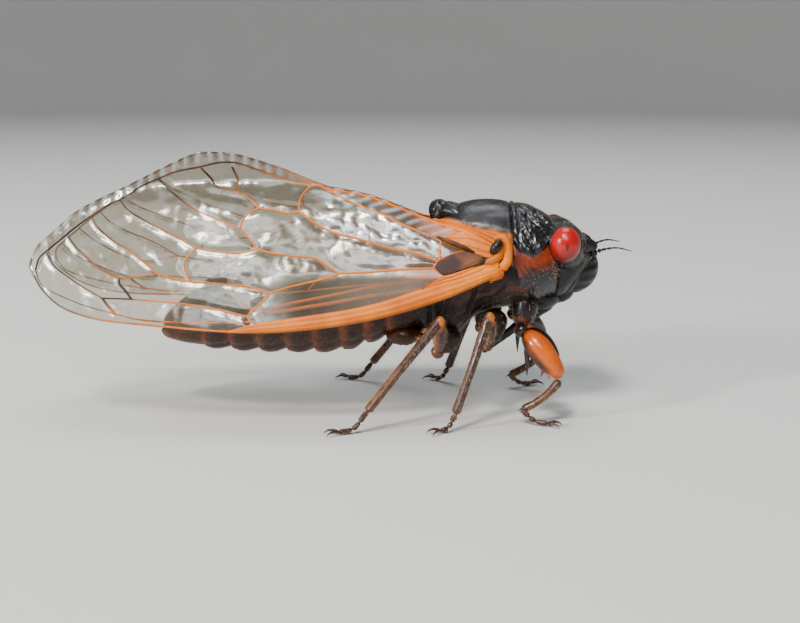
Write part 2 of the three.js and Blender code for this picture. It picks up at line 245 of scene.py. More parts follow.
def limb(points, radii, steps=24, sides=16, flat=1.0, relief=None, tone=0.0, hair=0.0,
         reference=(0.0, 1.0, 0.0), round_ends=True):
    """A tapering tube along a smooth path; its two ends are rounded over one radius."""
    share = 0.5 - 0.5 * np.cos(np.linspace(0, math.pi, steps)) if round_ends else np.linspace(0, 1, steps)
    fine = spline(points, 400)
    walked = np.concatenate(([0.0], np.cumsum(np.linalg.norm(np.diff(fine, axis=0), axis=1))))
    path = np.stack([np.interp(share * walked[-1], walked, fine[:, k]) for k in range(3)], 1)
    girth = profile(*[(i / (len(radii) - 1), r) for i, r in enumerate(radii)])(share)
    if round_ends:
        for away, radius in ((share, radii[0]), (1 - share, radii[-1])):
            near = np.clip(away * walked[-1] / max(radius, 1e-6), 0.04, 1)
            girth = girth * np.sqrt(1 - (1 - near) ** 2)
    _, side, lift = frames_along(path, reference)
    angle = np.linspace(0, 2 * math.pi, sides, endpoint=False)
    ring = side[:, None] * np.cos(angle)[None, :, None] * flat + lift[:, None] * np.sin(angle)[None, :, None]
    size = girth[:, None] * np.ones((1, sides))
    if relief is not None:
        size = size + relief(share[:, None], angle[None, :]) * (girth[:, None] / max(radii))
    grid = path[:, None] + ring * size[..., None]
    if callable(tone):
        tone = tone(share[:, None], angle[None, :])
    if callable(hair):
        hair = hair(share[:, None], angle[None, :])
    return tube_patch(grid, tone, hair)


def ball(centre, radii, rows=24, sides=32, relief=None, tone=0.0, hair=0.0, axis="z"):
    """An ellipsoid of rings with its poles on the given axis."""
    polar = np.linspace(0.03, math.pi - 0.03, rows)[:, None]
    turn = np.linspace(0, 2 * math.pi, sides, endpoint=False)[None, :]
    a, b, c = np.sin(polar) * np.cos(turn), np.sin(polar) * np.sin(turn), np.cos(polar) + 0 * turn
    unit = np.stack({"z": (a, b, c), "x": (c, a, b), "y": (b, c, a)}[axis], -1)
    grid = unit * radii + centre
    if relief is not None:
        grid = grid + unit * relief(unit)[..., None]
    if callable(tone):
        tone = tone(unit)
    if callable(hair):
        hair = hair(unit)
    return tube_patch(grid, tone, hair)


# Outlines of the trunk

ABDOMEN = {
    "back": profile((-17.3, 6.5), (-16.6, 7.3), (-14.2, 9.2), (-10.2, 11.3), (-5, 12.5), (1.3, 12.4)),
    "belly": profile((-17.3, 5.4), (-16.4, 5.0), (-14.2, 4.7), (-9, 4.4), (-4.2, 4.5),
                     (-1.5, 5.3), (1.3, 6.0)),
    "half": profile((-17.3, 0.5), (-16.6, 1.1), (-14.2, 2.45), (-10.2, 3.45), (-4, 3.9), (1.3, 3.6)),
    "middle": profile((-17.3, 5.9), (-14.2, 6.7), (-8, 7.8), (1.3, 8.6)),
}
THORAX = {
    "back": profile((1.2, 12.7), (2.2, 13.4), (3.2, 14.35), (4.2, 15.0), (5.6, 15.32),
                    (7, 15.3), (7.8, 15.14)),
    "belly": profile((1.2, 5.9), (2.6, 5.3), (4, 5.4), (5.8, 7.1), (7.8, 7.6)),
    "half": profile((1.2, 3.6), (3, 3.65), (5, 3.85), (7.8, 4.1)),
    "middle": profile((1.2, 8.7), (7.8, 9.8)),
}
COLLAR = {
    "back": profile((7.8, 15.16), (9, 14.96), (10, 14.55), (10.95, 13.95)),
    "belly": profile((7.8, 7.7), (9.5, 7.9), (10.95, 8.3)),
    "half": profile((7.8, 4.3), (9, 4.25), (10, 3.95), (10.95, 3.5)),
    "middle": profile((7.8, 10.3), (10.95, 10.9)),
}
FACE = {
    "back": profile((10.9, 13.5), (12.1, 13.35), (12.9, 13.0), (13.5, 12.5), (13.9, 12.0)),
    "belly": profile((10.9, 8.3), (11.6, 8.5), (12.6, 9.6), (13.9, 11.2)),
    "half": profile((10.9, 2.9), (11.8, 2.85), (12.8, 2.3), (13.5, 1.5), (13.9, 0.9)),
    "middle": profile((10.9, 11.2), (13.9, 11.6)),
}


# Objects

def settings():
    return bpy.context.scene.cicada


def turn_outwards(mesh):
    """Turns the faces of a closed mesh outwards."""
    turned = bmesh.new()
    turned.from_mesh(mesh)
    bmesh.ops.recalc_face_normals(turned, faces=turned.faces)
    turned.to_mesh(mesh)
    turned.free()


def write_value(mesh, key, values):
    """Stores one number at each point of a mesh."""
    layer = mesh.attributes.new(key, "FLOAT", "POINT")
    layer.data.foreach_set("value", np.asarray(values, np.float32))


def mesh_object(name, points, faces, **values_at_points):
    """A mesh in the frame's metres, with faces turned outwards and shaded smooth."""
    mesh = bpy.data.meshes.new(name)
    placed = (np.asarray(points) + (CENTRE_X, 0, 0)) * MM
    mesh.from_pydata(placed.tolist(), [], faces)
    for key, values in values_at_points.items():
        write_value(mesh, key, values)
    turn_outwards(mesh)
    mesh.shade_smooth()
    made = bpy.data.objects.new(name, mesh)
    bpy.context.collection.objects.link(made)
    return made


def finish_piece(made, material, nodes=()):
    """Gives a piece its material, the body that it rides on, its slot and the nodes it stands for."""
    made.data.materials.clear()
    made.data.materials.append(material)
    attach(made, BODY)
    if nodes:
        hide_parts(*nodes)
    return made


HOSTS = {}


def add_patch(name, patch, material, nodes=()):
    """A finished piece from a patch; the patch is kept for the bristles that grow on it."""
    extra = {key: patch[key] for key in VALUES[2:] if patch[key].any()}
    made = mesh_object(name, patch["points"], patch["faces"], tone=patch["tone"], **extra)
    HOSTS[name] = patch
    return finish_piece(made, material, nodes)


# Shader nodes

def shader_group(name, inputs, outputs, build):
    """A shared effect: a shader node group with named sockets, made once."""
    tree = bpy.data.node_groups.get(name)
    if tree:
        return tree
    tree = bpy.data.node_groups.new(name, "ShaderNodeTree")
    for label, kind, default in inputs:
        socket = tree.interface.new_socket(name=label, in_out="INPUT", socket_type=kind)
        if default is not None:
            socket.default_value = default
    for label, kind in outputs:
        tree.interface.new_socket(name=label, in_out="OUTPUT", socket_type=kind)
    build(tree, tree.nodes.new("NodeGroupInput"), tree.nodes.new("NodeGroupOutput"))
    return tree


def math_node(tree, operation, first, second=0.5, third=None):
    node = tree.nodes.new("ShaderNodeMath")
    node.operation = operation
    for socket, value in zip(node.inputs, (first, second, third)):
        if isinstance(value, bpy.types.NodeSocket):
            tree.links.new(value, socket)
        elif value is not None:
            socket.default_value = value
    return node.outputs[0]


def mix_colour(tree, factor, first, second):
    node = tree.nodes.new("ShaderNodeMix")
    node.data_type = "RGBA"
    for socket, value in ((node.inputs[0], factor), (node.inputs[6], first), (node.inputs[7], second)):
        if isinstance(value, bpy.types.NodeSocket):
            tree.links.new(value, socket)
        else:
            socket.default_value = value
    return node.outputs[2]


def noise_node(tree, vector, scale, detail=3.0, rough=0.55):
    node = tree.nodes.new("ShaderNodeTexNoise")
    tree.links.new(vector, node.inputs["Vector"])
    if isinstance(scale, bpy.types.NodeSocket):
        tree.links.new(scale, node.inputs["Scale"])
    else:
        node.inputs["Scale"].default_value = scale
    node.inputs["Detail"].default_value = detail
    node.inputs["Roughness"].default_value = rough
    return node.outputs["Fac"]


def cuticle_grain():
    """Fine grain, pits and slow mottling of insect cuticle, all from Object coordinates."""
    def build(tree, source, target):
        vector = source.outputs["Vector"]
        fine = noise_node(tree, vector, source.outputs["Grain Scale"], 4)
        pits = tree.nodes.new("ShaderNodeTexVoronoi")
        tree.links.new(vector, pits.inputs["Vector"])
        tree.links.new(source.outputs["Pit Scale"], pits.inputs["Scale"])
        edge = math_node(tree, "MULTIPLY", math_node(tree, "LESS_THAN", pits.outputs["Distance"], 0.28),
                         source.outputs["Pit Depth"])
        height = math_node(tree, "SUBTRACT", fine, edge)
        tree.links.new(height, target.inputs["Height"])
        slow = noise_node(tree, vector, source.outputs["Mottle Scale"], 2)
        contrast = math_node(tree, "MULTIPLY_ADD", slow, 2.4, -0.7)
        clamp = tree.nodes.new("ShaderNodeClamp")
        tree.links.new(contrast, clamp.inputs["Value"])
        tree.links.new(clamp.outputs[0], target.inputs["Mottle"])
    return shader_group(
        "Cuticle grain",
        [("Vector", "NodeSocketVector", None), ("Grain Scale", "NodeSocketFloat", 4000.0),
         ("Pit Scale", "NodeSocketFloat", 5000.0), ("Pit Depth", "NodeSocketFloat", 0.2),
         ("Mottle Scale", "NodeSocketFloat", 900.0)],
        [("Height", "NodeSocketFloat"), ("Mottle", "NodeSocketFloat")],
        build,
    )


def new_material(name):
    material = bpy.data.materials.new(name)
    material.use_nodes = True
    tree = material.node_tree
    return material, tree, tree.nodes["Principled BSDF"], tree.nodes["Material Output"]


def cuticle(name, base, accent, dark, rough=(0.28, 0.45), grain=4500.0, pits=5500.0, pit_depth=0.15,
            mottle=800.0, bump=0.35, depth=0.012, coat=0.0, stretch=(1, 1, 1), calm=False, shine=0.5):
    """Insect cuticle: base colour, an accent where the piece's tone is 1, and mottling towards dark."""
    if name in bpy.data.materials:
        return bpy.data.materials[name]
    material, tree, shader, _ = new_material(name)
    place = tree.nodes.new("ShaderNodeTexCoord")
    mapping = tree.nodes.new("ShaderNodeMapping")
    mapping.inputs["Scale"].default_value = stretch
    tree.links.new(place.outputs["Object"], mapping.inputs["Vector"])
    group = tree.nodes.new("ShaderNodeGroup")
    group.node_tree = cuticle_grain()
    tree.links.new(mapping.outputs[0], group.inputs["Vector"])
    for label, value in (("Grain Scale", grain), ("Pit Scale", pits), ("Pit Depth", pit_depth),
                         ("Mottle Scale", mottle)):
        group.inputs[label].default_value = value
    tone = tree.nodes.new("ShaderNodeAttribute")
    tone.attribute_name = "tone"
    ragged = math_node(tree, "MULTIPLY_ADD", group.outputs["Mottle"], 0.3, -0.15)
    spread = math_node(tree, "ADD", tone.outputs["Fac"], math_node(
        tree, "MULTIPLY", ragged, math_node(tree, "GREATER_THAN", tone.outputs["Fac"], 0.04)))
    colour = mix_colour(tree, spread, (*base, 1), (*accent, 1))
    patchy = math_node(tree, "MULTIPLY", group.outputs["Mottle"], 0.55)
    if calm:
        plain = math_node(tree, "SUBTRACT", 1.0, tone.outputs["Fac"])
        patchy = math_node(tree, "MULTIPLY", patchy, plain)
    colour = mix_colour(tree, patchy, colour, (*dark, 1))
    tree.links.new(colour, shader.inputs["Base Color"])
    gloss = math_node(tree, "MULTIPLY_ADD", group.outputs["Mottle"], rough[1] - rough[0], rough[0])
    tree.links.new(gloss, shader.inputs["Roughness"])
    relief = tree.nodes.new("ShaderNodeBump")
    relief.inputs["Strength"].default_value = bump
    relief.inputs["Distance"].default_value = depth * MM
    tree.links.new(group.outputs["Height"], relief.inputs["Height"])
    tree.links.new(relief.outputs[0], shader.inputs["Normal"])
    shader.inputs["Specular IOR Level"].default_value = shine
    shader.inputs["Coat Weight"].default_value = coat
    shader.inputs["Coat Roughness"].default_value = 0.12
    return material


def shell_black():
    return cuticle("Black shell", tuple(settings().shell_colour), (0.05, 0.012, 0.005), (0.003, 0.003, 0.004),
                   rough=(0.28, 0.44), bump=0.5, depth=0.02, coat=0.06, shine=0.34)


def wrinkled_black():
    return cuticle("Wrinkled black shell", tuple(settings().shell_colour), (0.42, 0.05, 0.004),
                   (0.003, 0.003, 0.004), rough=(0.22, 0.36), grain=3000.0, bump=0.9, depth=0.035, coat=0.15,
                   stretch=(1, 1, 0.45))


def shield_black():
    return cuticle("Shield shell", tuple(settings().shell_colour), tuple(settings().vein_colour),
                   (0.004, 0.004, 0.006), rough=(0.3, 0.42), bump=0.4, depth=0.015, coat=0.05)


def belly_brown():
    return cuticle("Brown underside", (0.007, 0.0035, 0.003), (0.16, 0.034, 0.008), (0.003, 0.002, 0.002),
                   rough=(0.3, 0.5), bump=0.6, depth=0.025, coat=0.05, shine=0.36)


def leg_orange():
    return cuticle("Orange leg", tuple(settings().leg_colour), (0.010, 0.004, 0.003), (0.36, 0.04, 0.002),
                   rough=(0.18, 0.3), mottle=1400.0, bump=0.3, depth=0.012, coat=0.3, calm=True)


def leg_brown():
    return cuticle("Brown leg", (0.050, 0.013, 0.009), (0.72, 0.20, 0.012), (0.010, 0.004, 0.005),
                   rough=(0.22, 0.4), mottle=2200.0, grain=7000.0, bump=0.8, depth=0.03, coat=0.2)


def bristle_gold():
    return cuticle("Golden bristle", (0.60, 0.40, 0.17), (0.8, 0.62, 0.36), (0.4, 0.24, 0.1),
                   rough=(0.35, 0.5), bump=0.1)


# Trunk

def abdomen_relief(x, degrees, grid):
    """Overlapping rings, a fold along each flank and a low keel below."""
    height = np.zeros(np.broadcast_shapes(x.shape, degrees.shape))
    for front, rear in zip(SEGMENT_EDGES[:-1], SEGMENT_EDGES[1:]):
        inside = (x <= front) & (x > rear)
        share = (front - x) / (front - rear)
        lip = 0.16 * smoothstep(0.0, 0.85, share) * (1 - smoothstep(0.93, 1.0, share)) - 0.1
        lip = lip + 0.2 * np.sin(np.clip(share, 0, 1) * math.pi) * smoothstep(95, 150, degrees)
        height = height + np.where(inside, lip, 0)
    height = height - 0.16 * bell(degrees, 112, 5) * smoothstep(-16.5, -14, x)
    height = height - 0.08 * bell(degrees, 138, 4) * smoothstep(-14.5, -13, x)
    height = height + 0.06 * bell(degrees, 0, 10)
    return height + 0.03 * roughness_field(grid, 0.6)


def abdomen_tone(x, degrees, grid):
    """Reddish hind rims, widest below."""
    tone = np.zeros(np.broadcast_shapes(x.shape, degrees.shape))
    below = smoothstep(70, 125, degrees)
    for rear in SEGMENT_EDGES[1:]:
        tone = np.maximum(tone, bell(x, rear + 0.16, 0.1 + 0.2 * below) * (0.5 + 0.5 * below))
    tone = np.maximum(tone, 0.5 * smoothstep(-13.8, -16.2, x))
    return np.clip(tone + 0.2 * below, 0, 1)


def make_abdomen():
    def fuzz(x, degrees, grid):
        return 0.25 + 0.5 * smoothstep(80, 120, degrees)
    def cover_relief(unit):
        return -0.1 * bell(unit[..., 0], 0.45, 0.12) + 0.03 * np.sin(unit[..., 0] * 20)
    skin = loft(ABDOMEN, 1.25, TAIL_X, 230, 96, abdomen_relief, tone=abdomen_tone, hair=fuzz,
                dome=(0.05, 0.1))
    # The pointed last ring and the sheath below it
    tail = limb([(-15.6, 0, 5.9), (-16.7, 0, 5.6), (-17.45, 0, 5.75)], [1.0, 0.75, 0.3], 20, 24,
                flat=0.8, tone=0.8)
    nodes = [f"abdomen_segment_{i}" for i in range(1, len(SEGMENT_EDGES))] + ["abdomen_tip"]
    add_patch("abdomen_rings", join(skin, tail), belly_brown(), nodes)
    for side, sign in SIDES:
        cover = ball((0.35, -1.75, 5.85), (1.4, 1.45, 0.8), 20, 36, tone=0.35, hair=0.5,
                     relief=cover_relief)
        add_patch(f"drum_cover_{side}", mirrored(cover, sign), belly_brown(), [f"operculum_{side}"])


# Where the smooth black shield ends on the flank, in degrees from the top
SHIELD_EDGE = profile((2.0, 8), (3.0, 16), (4.0, 32), (5.0, 42), (6.0, 46), (7.8, 50))


def mesonotum_relief(x, degrees, grid):
    """A faint middle line, two pairs of oblique lines, and a step down to the folded flank."""
    line = -0.03 * bell(degrees, 0, 1.6) * smoothstep(3.5, 4.4, x)
    for start, end, depth in (((7.7, 9), (5.4, 15), 0.04), ((7.7, 27), (4.6, 34), 0.05)):
        line = line - depth * np.exp(-((to_segment(x, degrees / 14, (start[0], start[1] / 14),
                                                   (end[0], end[1] / 14)) / 0.12) ** 2))
    past = degrees - SHIELD_EDGE(x)
    step = 0.02 * bell(past, -4, 3) - 0.14 * smoothstep(-1, 3, past)
    folds = 0.05 * np.sin(past * 0.55 + 1.0) * smoothstep(2, 6, past)
    front = -0.1 * smoothstep(7.66, 7.8, x)
    return line + step + folds + front + 0.012 * roughness_field(grid, 0.35)


def make_mesonotum():
    def fuzz(x, degrees, grid):
        return (0.14 + 0.3 * bell(x, 7.6, 0.3)) * (1 - smoothstep(-3, 2, degrees - SHIELD_EDGE(x)))
    def tone(x, degrees, grid):
        return smoothstep(-1.0, 1.5, degrees - SHIELD_EDGE(x))
    back = loft(THORAX, 7.8, 2.0, 110, 120, mesonotum_relief, tone=tone, hair=fuzz)
    keep_above(back, 10.0)
    add_patch("mesonotum_shield", back, shield_black(), ["mesonotum"])
    def knobs(unit):
        return 0.07 * np.sin(unit[..., 0] * 7) * np.cos(unit[..., 1] * 6) - 0.1 * bell(unit[..., 1], 0, 0.12)
    arms = [ball((2.8, 0, 14.55), (0.78, 0.85, 0.78), 30, 40, hair=0.5, relief=knobs),
            ball((3.65, 0, 14.62), (0.85, 0.85, 0.5), 24, 34, hair=0.5, relief=knobs)]
    for sign in (-1, 1):
        front = [(3.0, sign * 0.2, 14.68), (3.75, sign * 0.8, 14.55), (4.6, sign * 1.6, 14.1)]
        rear = [(2.8, sign * 0.2, 14.5), (2.75, sign * 0.6, 14.2), (2.7, sign * 0.9, 13.9)]
        arms.append(limb(front, [0.5, 0.44, 0.12], 24, 22, hair=0.5, relief=ribbed(0.04, 3)))
        arms.append(limb(rear, [0.5, 0.44, 0.24], 24, 22, hair=0.5, relief=ribbed(0.04, 3)))
    add_patch("cross_ridge", join(*arms), shell_black(), ["cruciform_elevation"])


def keep_above(patch, floor):
    """Pulls the part of a loft below a level inwards, so that it hides under its neighbour."""
    points = patch["points"]
    low = points[:, 2] < floor
    points[low, 2] = floor + (points[low, 2] - floor) * 0.05
    points[low, 1] *= 0.93


# Where the black of the pronotum ends on the flank, in degrees from the top
COLLAR_EDGE = profile((7.8, 58), (8.5, 70), (9.0, 73), (9.5, 71), (10.0, 65), (10.5, 55), (11.0, 47))


def pronotum_relief(x, degrees, grid):
    """A narrow hind rim, slanting fissures with swollen wrinkled lobes between, and a sunken flank."""
    uneven = 1 + 1.3 * roughness_field(grid, 0.8)
    rim = (0.04 * bell(x, 8.02, 0.13) - 0.05 * bell(x, 8.22, 0.06)) * uneven - 0.1 * smoothstep(7.9, 7.82, x)
    rim = rim - 0.2 * smoothstep(10.7, 10.95, x)
    arc = degrees / 14.0
    height = rim
    fissures = (
        ((8.9, 2.1), (10.2, 3.8), 0.3, 0.13),
        ((8.55, 3.5), (9.35, 4.9), 0.14, 0.1),
        ((9.5, 1.2), (10.6, 2.4), 0.16, 0.11),
        ((8.6, 0.9), (9.2, 1.9), 0.1, 0.1),
    )
    for start, end, depth, width in fissures:
        height = height - depth * np.exp(-((to_segment(x, arc, start, end) / width) ** 2))
    for place, turn, size, rise in ((9.0, 3.4, 0.55, 0.12), (9.9, 2.7, 0.4, 0.12), (9.6, 4.4, 0.4, 0.12),
                                    (9.1, 1.0, 0.5, 0.06), (10.3, 1.3, 0.4, 0.08)):
        height = height + rise * np.exp(-((np.hypot(x - place, arc - turn) / size) ** 2))
    past = degrees - COLLAR_EDGE(x)
    black = 1 - smoothstep(-4, 2, past)
    warp = roughness_field(grid, 0.5) * 3.0
    wrinkles = np.sin((x - 0.5 * arc) * 13 + warp) * 0.024 * smoothstep(1.0, 2.4, arc)
    crumple = roughness_field(grid, 0.3, (1.6, 1, 0.8)) * 0.042 + roughness_field(grid, 0.13) * 0.026
    band = smoothstep(8.3, 8.5, x) * (1 - smoothstep(10.4, 10.8, x))
    flank = -0.16 * smoothstep(-1.5, 2.5, past) + 0.07 * bell(past, -4, 3)
    return height * black + (wrinkles + crumple) * (0.25 + 0.75 * band * black) + flank


def make_pronotum():
    def tone(x, degrees, grid):
        # Below its edge the flank is rusty, then dark again towards the hip
        ragged = 5 * roughness_field(grid, 0.7) + 3 * roughness_field(grid, 0.3)
        past = degrees - COLLAR_EDGE(x) + 0.4 * ragged
        low = 1 - smoothstep(78, 91, degrees + 1.4 * ragged + 1.2 * (x - 9.2))
        return smoothstep(-0.5, 2.5, past) * low * (0.45 + 0.33 * smoothstep(8.0, 9.2, x) + 0.03 * ragged)
    def fuzz(x, degrees, grid):
        low = bell(degrees, 90, 7)
        nape = bell(x, 10.75, 0.22) * smoothstep(38, 55, degrees) * smoothstep(110, 95, degrees)
        return 0.14 + 0.9 * low + 2.6 * nape + 0.2 * bell(x, 7.9, 0.15)
    shell = loft(COLLAR, 11.0, 7.82, 130, 300, pronotum_relief, tone=tone, hair=fuzz)
    points = shell["points"]
    turn = np.degrees(np.arctan2(np.abs(points[:, 1]), points[:, 2] - 10.5))
    rear = np.clip((11.0 - points[:, 0]) / 3.2, 0, 1)
    points[:, 0] += rear * (0.5 * smoothstep(62, 105, turn) + 0.35 * smoothstep(115, 170, turn))
    add_patch("pronotum_shield", shell, wrinkled_black(), ["pronotum", "prothorax_underside"])


def pleura_relief(x, degrees, grid):
    """Plates of the thorax side, parted by slanting seams."""
    arc = degrees / 14.0
    height = 0.06 * roughness_field(grid, 0.9)
    seams = (
        ((7.2, 6.4), (6.0, 9.6), 0.2), ((5.2, 6.3), (4.6, 9.8), 0.22), ((3.4, 6.5), (3.0, 9.8), 0.18),
        ((6.6, 8.0), (5.0, 8.0), 0.14), ((4.9, 8.6), (3.2, 8.4), 0.12), ((2.2, 6.0), (2.0, 10), 0.18),
    )
    for start, end, depth in seams:
        height = height - depth * np.exp(-((to_segment(x, arc, start, end) / 0.12) ** 2))
    for x0, arc0, size in ((6.5, 8.8, 0.5), (4.2, 7.4, 0.6), (3.9, 9.2, 0.5), (5.9, 7.1, 0.45)):
        height = height + 0.16 * np.exp(-((np.hypot(x - x0, arc - arc0) / size) ** 2))
    return height - 0.1


def make_thorax_sides():
    def tone(x, degrees, grid):
        return 0.05 + 0.35 * bell(degrees, 96, 6) * smoothstep(2.5, 4.5, x)
    def fuzz(x, degrees, grid):
        return 0.15 + 0.3 * smoothstep(80, 110, degrees)
    flank = loft(THORAX, 8.9, 1.15, 130, 120, pleura_relief, tone=tone, hair=fuzz)
    keep_below(flank, THORAX, 11.2)
    add_patch("thorax_plates", flank, belly_brown(), ["mesothorax_underside", "metathorax"])


def keep_below(patch, outline, ceiling):
    """Lowers the top of a loft, so that it hides under the shield above it."""
    points = patch["points"]
    high = points[:, 2] > ceiling
    points[high, 2] = np.minimum(points[high, 2], outline["back"](points[high, 0]) - 0.25)
    points[high, 1] *= 0.95


# Head

def head_relief(x, degrees, grid):
    middle = -0.1 * bell(degrees, 0, 5) * bell(x, 12.3, 0.5)
    brow = 0.1 * bell(degrees, 33, 8) * smoothstep(12.2, 13.2, x)
    nape = -0.15 * smoothstep(11.2, 10.95, x)
    return middle + brow + nape + 0.03 * roughness_field(grid, 0.3) + 0.012 * roughness_field(grid, 0.12)


def make_head():
    def fuzz(x, degrees, grid):
        return 0.1 + 0.9 * bell(x, 11.05, 0.3) * smoothstep(20, 60, degrees)
    def socket_rim(share, angle):
        return 0.05 * bell(share, 0.95, 0.03) - 0.06 * bell(share, 0.88, 0.03)
    parts = [loft(FACE, 13.9, 10.85, 70, 90, head_relief, square=0.75, hair=fuzz)]
    # A collar of cuticle holds each eye
    for sign in (-1, 1):
        x, y, z = EYE_CENTRE
        inner = (x + 0.25, sign * 0.5, z - 0.75)
        outer = (x, sign * (y - 0.02), z)
        socket = limb([inner, along(inner, outer, 0.5), outer], [1.75, 1.5, 1.07], 26, 56, hair=0.35,
                      relief=socket_rim, reference=(0.0, 0.0, 1.0), round_ends=False)
        stretch_about(socket, outer, (1.0, 1.0, 1.17))
        parts.append(socket)
        # The ledge over the root of each feeler
        brow = [(12.7, sign * 1.9, 12.25), (13.4, sign * 1.5, 12.2), (13.95, sign * 1.2, 11.95)]
        parts.append(limb(brow, [0.5, 0.42, 0.28], 18, 18, flat=1.2, hair=0.15))
    # The throat, the base of the feelers and the cheeks
    parts.append(ball((10.15, 0, 8.35), (1.5, 1.9, 1.05), 24, 36, hair=0.15))
    for sign in (-1, 1):
        parts.append(ball((13.75, sign * 1.27, 11.62), (0.3, 0.32, 0.3), 12, 18))
        cheek = [(12.3, sign * 1.75, 11.2), (12.2, sign * 1.5, 9.9), (11.7, sign * 0.9, 8.7)]
        parts.append(limb(cheek, [0.5, 0.55, 0.35], 20, 20, hair=0.15))
    add_patch("head_capsule", join(*parts), shell_black(), ["head"])
    make_face()
    make_beak()
    for side, sign in SIDES:
        add_patch(f"feeler_{side}", mirrored(feeler(), sign), shell_black(),
                  [f"antenna_{side}"])


def make_face():
    """The swollen, ribbed face plate with the chin and lip below it."""
    def ribs(unit):
        # Rows of ribs to both sides of a smooth middle band
        aside = smoothstep(0.22, 0.42, np.abs(unit[..., 1]))
        wave = np.sin(unit[..., 2] * 17.0 + np.abs(unit[..., 1]) * 3.0)
        middle = -0.07 * bell(unit[..., 1], 0, 0.07) * smoothstep(-0.9, -0.2, unit[..., 2])
        return 0.028 * wave * aside * smoothstep(-0.2, 0.3, unit[..., 0]) + middle
    bulge = ball((12.35, 0, 10.45), (2.0, 1.65, 1.95), 110, 90, relief=ribs, hair=0.05)
    chin = limb([(12.3, 0, 9.3), (11.7, 0, 8.6), (11.1, 0, 8.0)], [0.95, 0.82, 0.5], 24, 28, hair=0.15)
    lip = limb([(11.9, 0, 8.9), (11.3, 0, 8.25), (10.9, 0, 7.85)], [0.55, 0.6, 0.42], 20, 24, hair=0.15)
    add_patch("face_bulge", join(bulge, chin, lip), shell_black(), ["postclypeus"])


def make_beak():
    def groove(share, angle):
        return -0.09 * bell(angle, math.pi * 1.5, 0.3) + 0.015 * np.cos(share * 60)
    beak = limb([(11.0, 0, 7.85), (8.9, 0, 6.3), (6.1, 0, 4.05)], [0.5, 0.34, 0.16], 60, 20,
                relief=groove, hair=0.3)
    sheath = limb([(11.1, 0, 7.9), (9.9, 0, 7.1), (8.6, 0, 6.15)], [0.5, 0.46, 0.34], 24, 20)
    add_patch("beak", join(beak, sheath), shell_black(), ["rostrum"])


def stretch_about(patch, centre, scale):
    patch["points"] = (patch["points"] - centre) * scale + centre


def feeler():
    """Two stout joints and a whip of five thinning ones."""
    path = spline([(13.75, -1.25, 11.65), (14.5, -1.6, 11.95), (15.3, -1.95, 12.1), (16.35, -2.3, 11.9)], 60)
    joints = [(0, 7, 0.2, 0.19), (7, 13, 0.18, 0.14), (13, 22, 0.1, 0.085), (22, 31, 0.085, 0.07),
              (31, 40, 0.07, 0.06), (40, 49, 0.06, 0.045), (49, 59, 0.045, 0.02)]
    made = []
    for start, end, thick, thin in joints:
        places = path[start:end + 1][::max((end - start) // 3, 1)]
        made.append(limb(places, [thick, (thick + thin) / 2 * 1.05, thin], 10, 12))
    return join(*made)


# Geometry node trees

def geometry_tree(name, inputs):
    """A geometry node group with a Geometry input and output and the named inputs."""
    tree = bpy.data.node_groups.new(name, "GeometryNodeTree")
    tree.interface.new_socket(name="Geometry", in_out="INPUT", socket_type="NodeSocketGeometry")
    for label, kind, default in inputs:
        socket = tree.interface.new_socket(name=label, in_out="INPUT", socket_type=kind)
        if default is not None:
            socket.default_value = default
    tree.interface.new_socket(name="Geometry", in_out="OUTPUT", socket_type="NodeSocketGeometry")
    return tree, tree.nodes.new("NodeGroupInput"), tree.nodes.new("NodeGroupOutput")


def close_tree(tree, source, target, geometry):
    """Ends a tree with Realize Instances and Set Material."""
    real = tree.nodes.new("GeometryNodeRealizeInstances")
    paint = tree.nodes.new("GeometryNodeSetMaterial")
    tree.links.new(geometry, real.inputs["Geometry"])
    tree.links.new(real.outputs[0], paint.inputs["Geometry"])
    tree.links.new(source.outputs["Material"], paint.inputs["Material"])
    tree.links.new(paint.outputs[0], target.inputs[0])


def run_tree(holder, tree, values, name):
    """Evaluates a tree on an object and returns the result as a plain mesh object."""
    modifier = holder.modifiers.new("Shape", "NODES")
    modifier.node_group = tree
    for item in tree.interface.items_tree:
        if item.item_type == "SOCKET" and item.in_out == "INPUT" and item.name in values:
            modifier[item.identifier] = values[item.name]
    graph = bpy.context.evaluated_depsgraph_get()
    mesh = bpy.data.meshes.new_from_object(holder.evaluated_get(graph), depsgraph=graph)
    holder.modifiers.clear()
    bpy.data.objects.remove(holder, do_unlink=True)
    mesh.name = name
    made = bpy.data.objects.new(name, mesh)
    bpy.context.collection.objects.link(made)
    return made


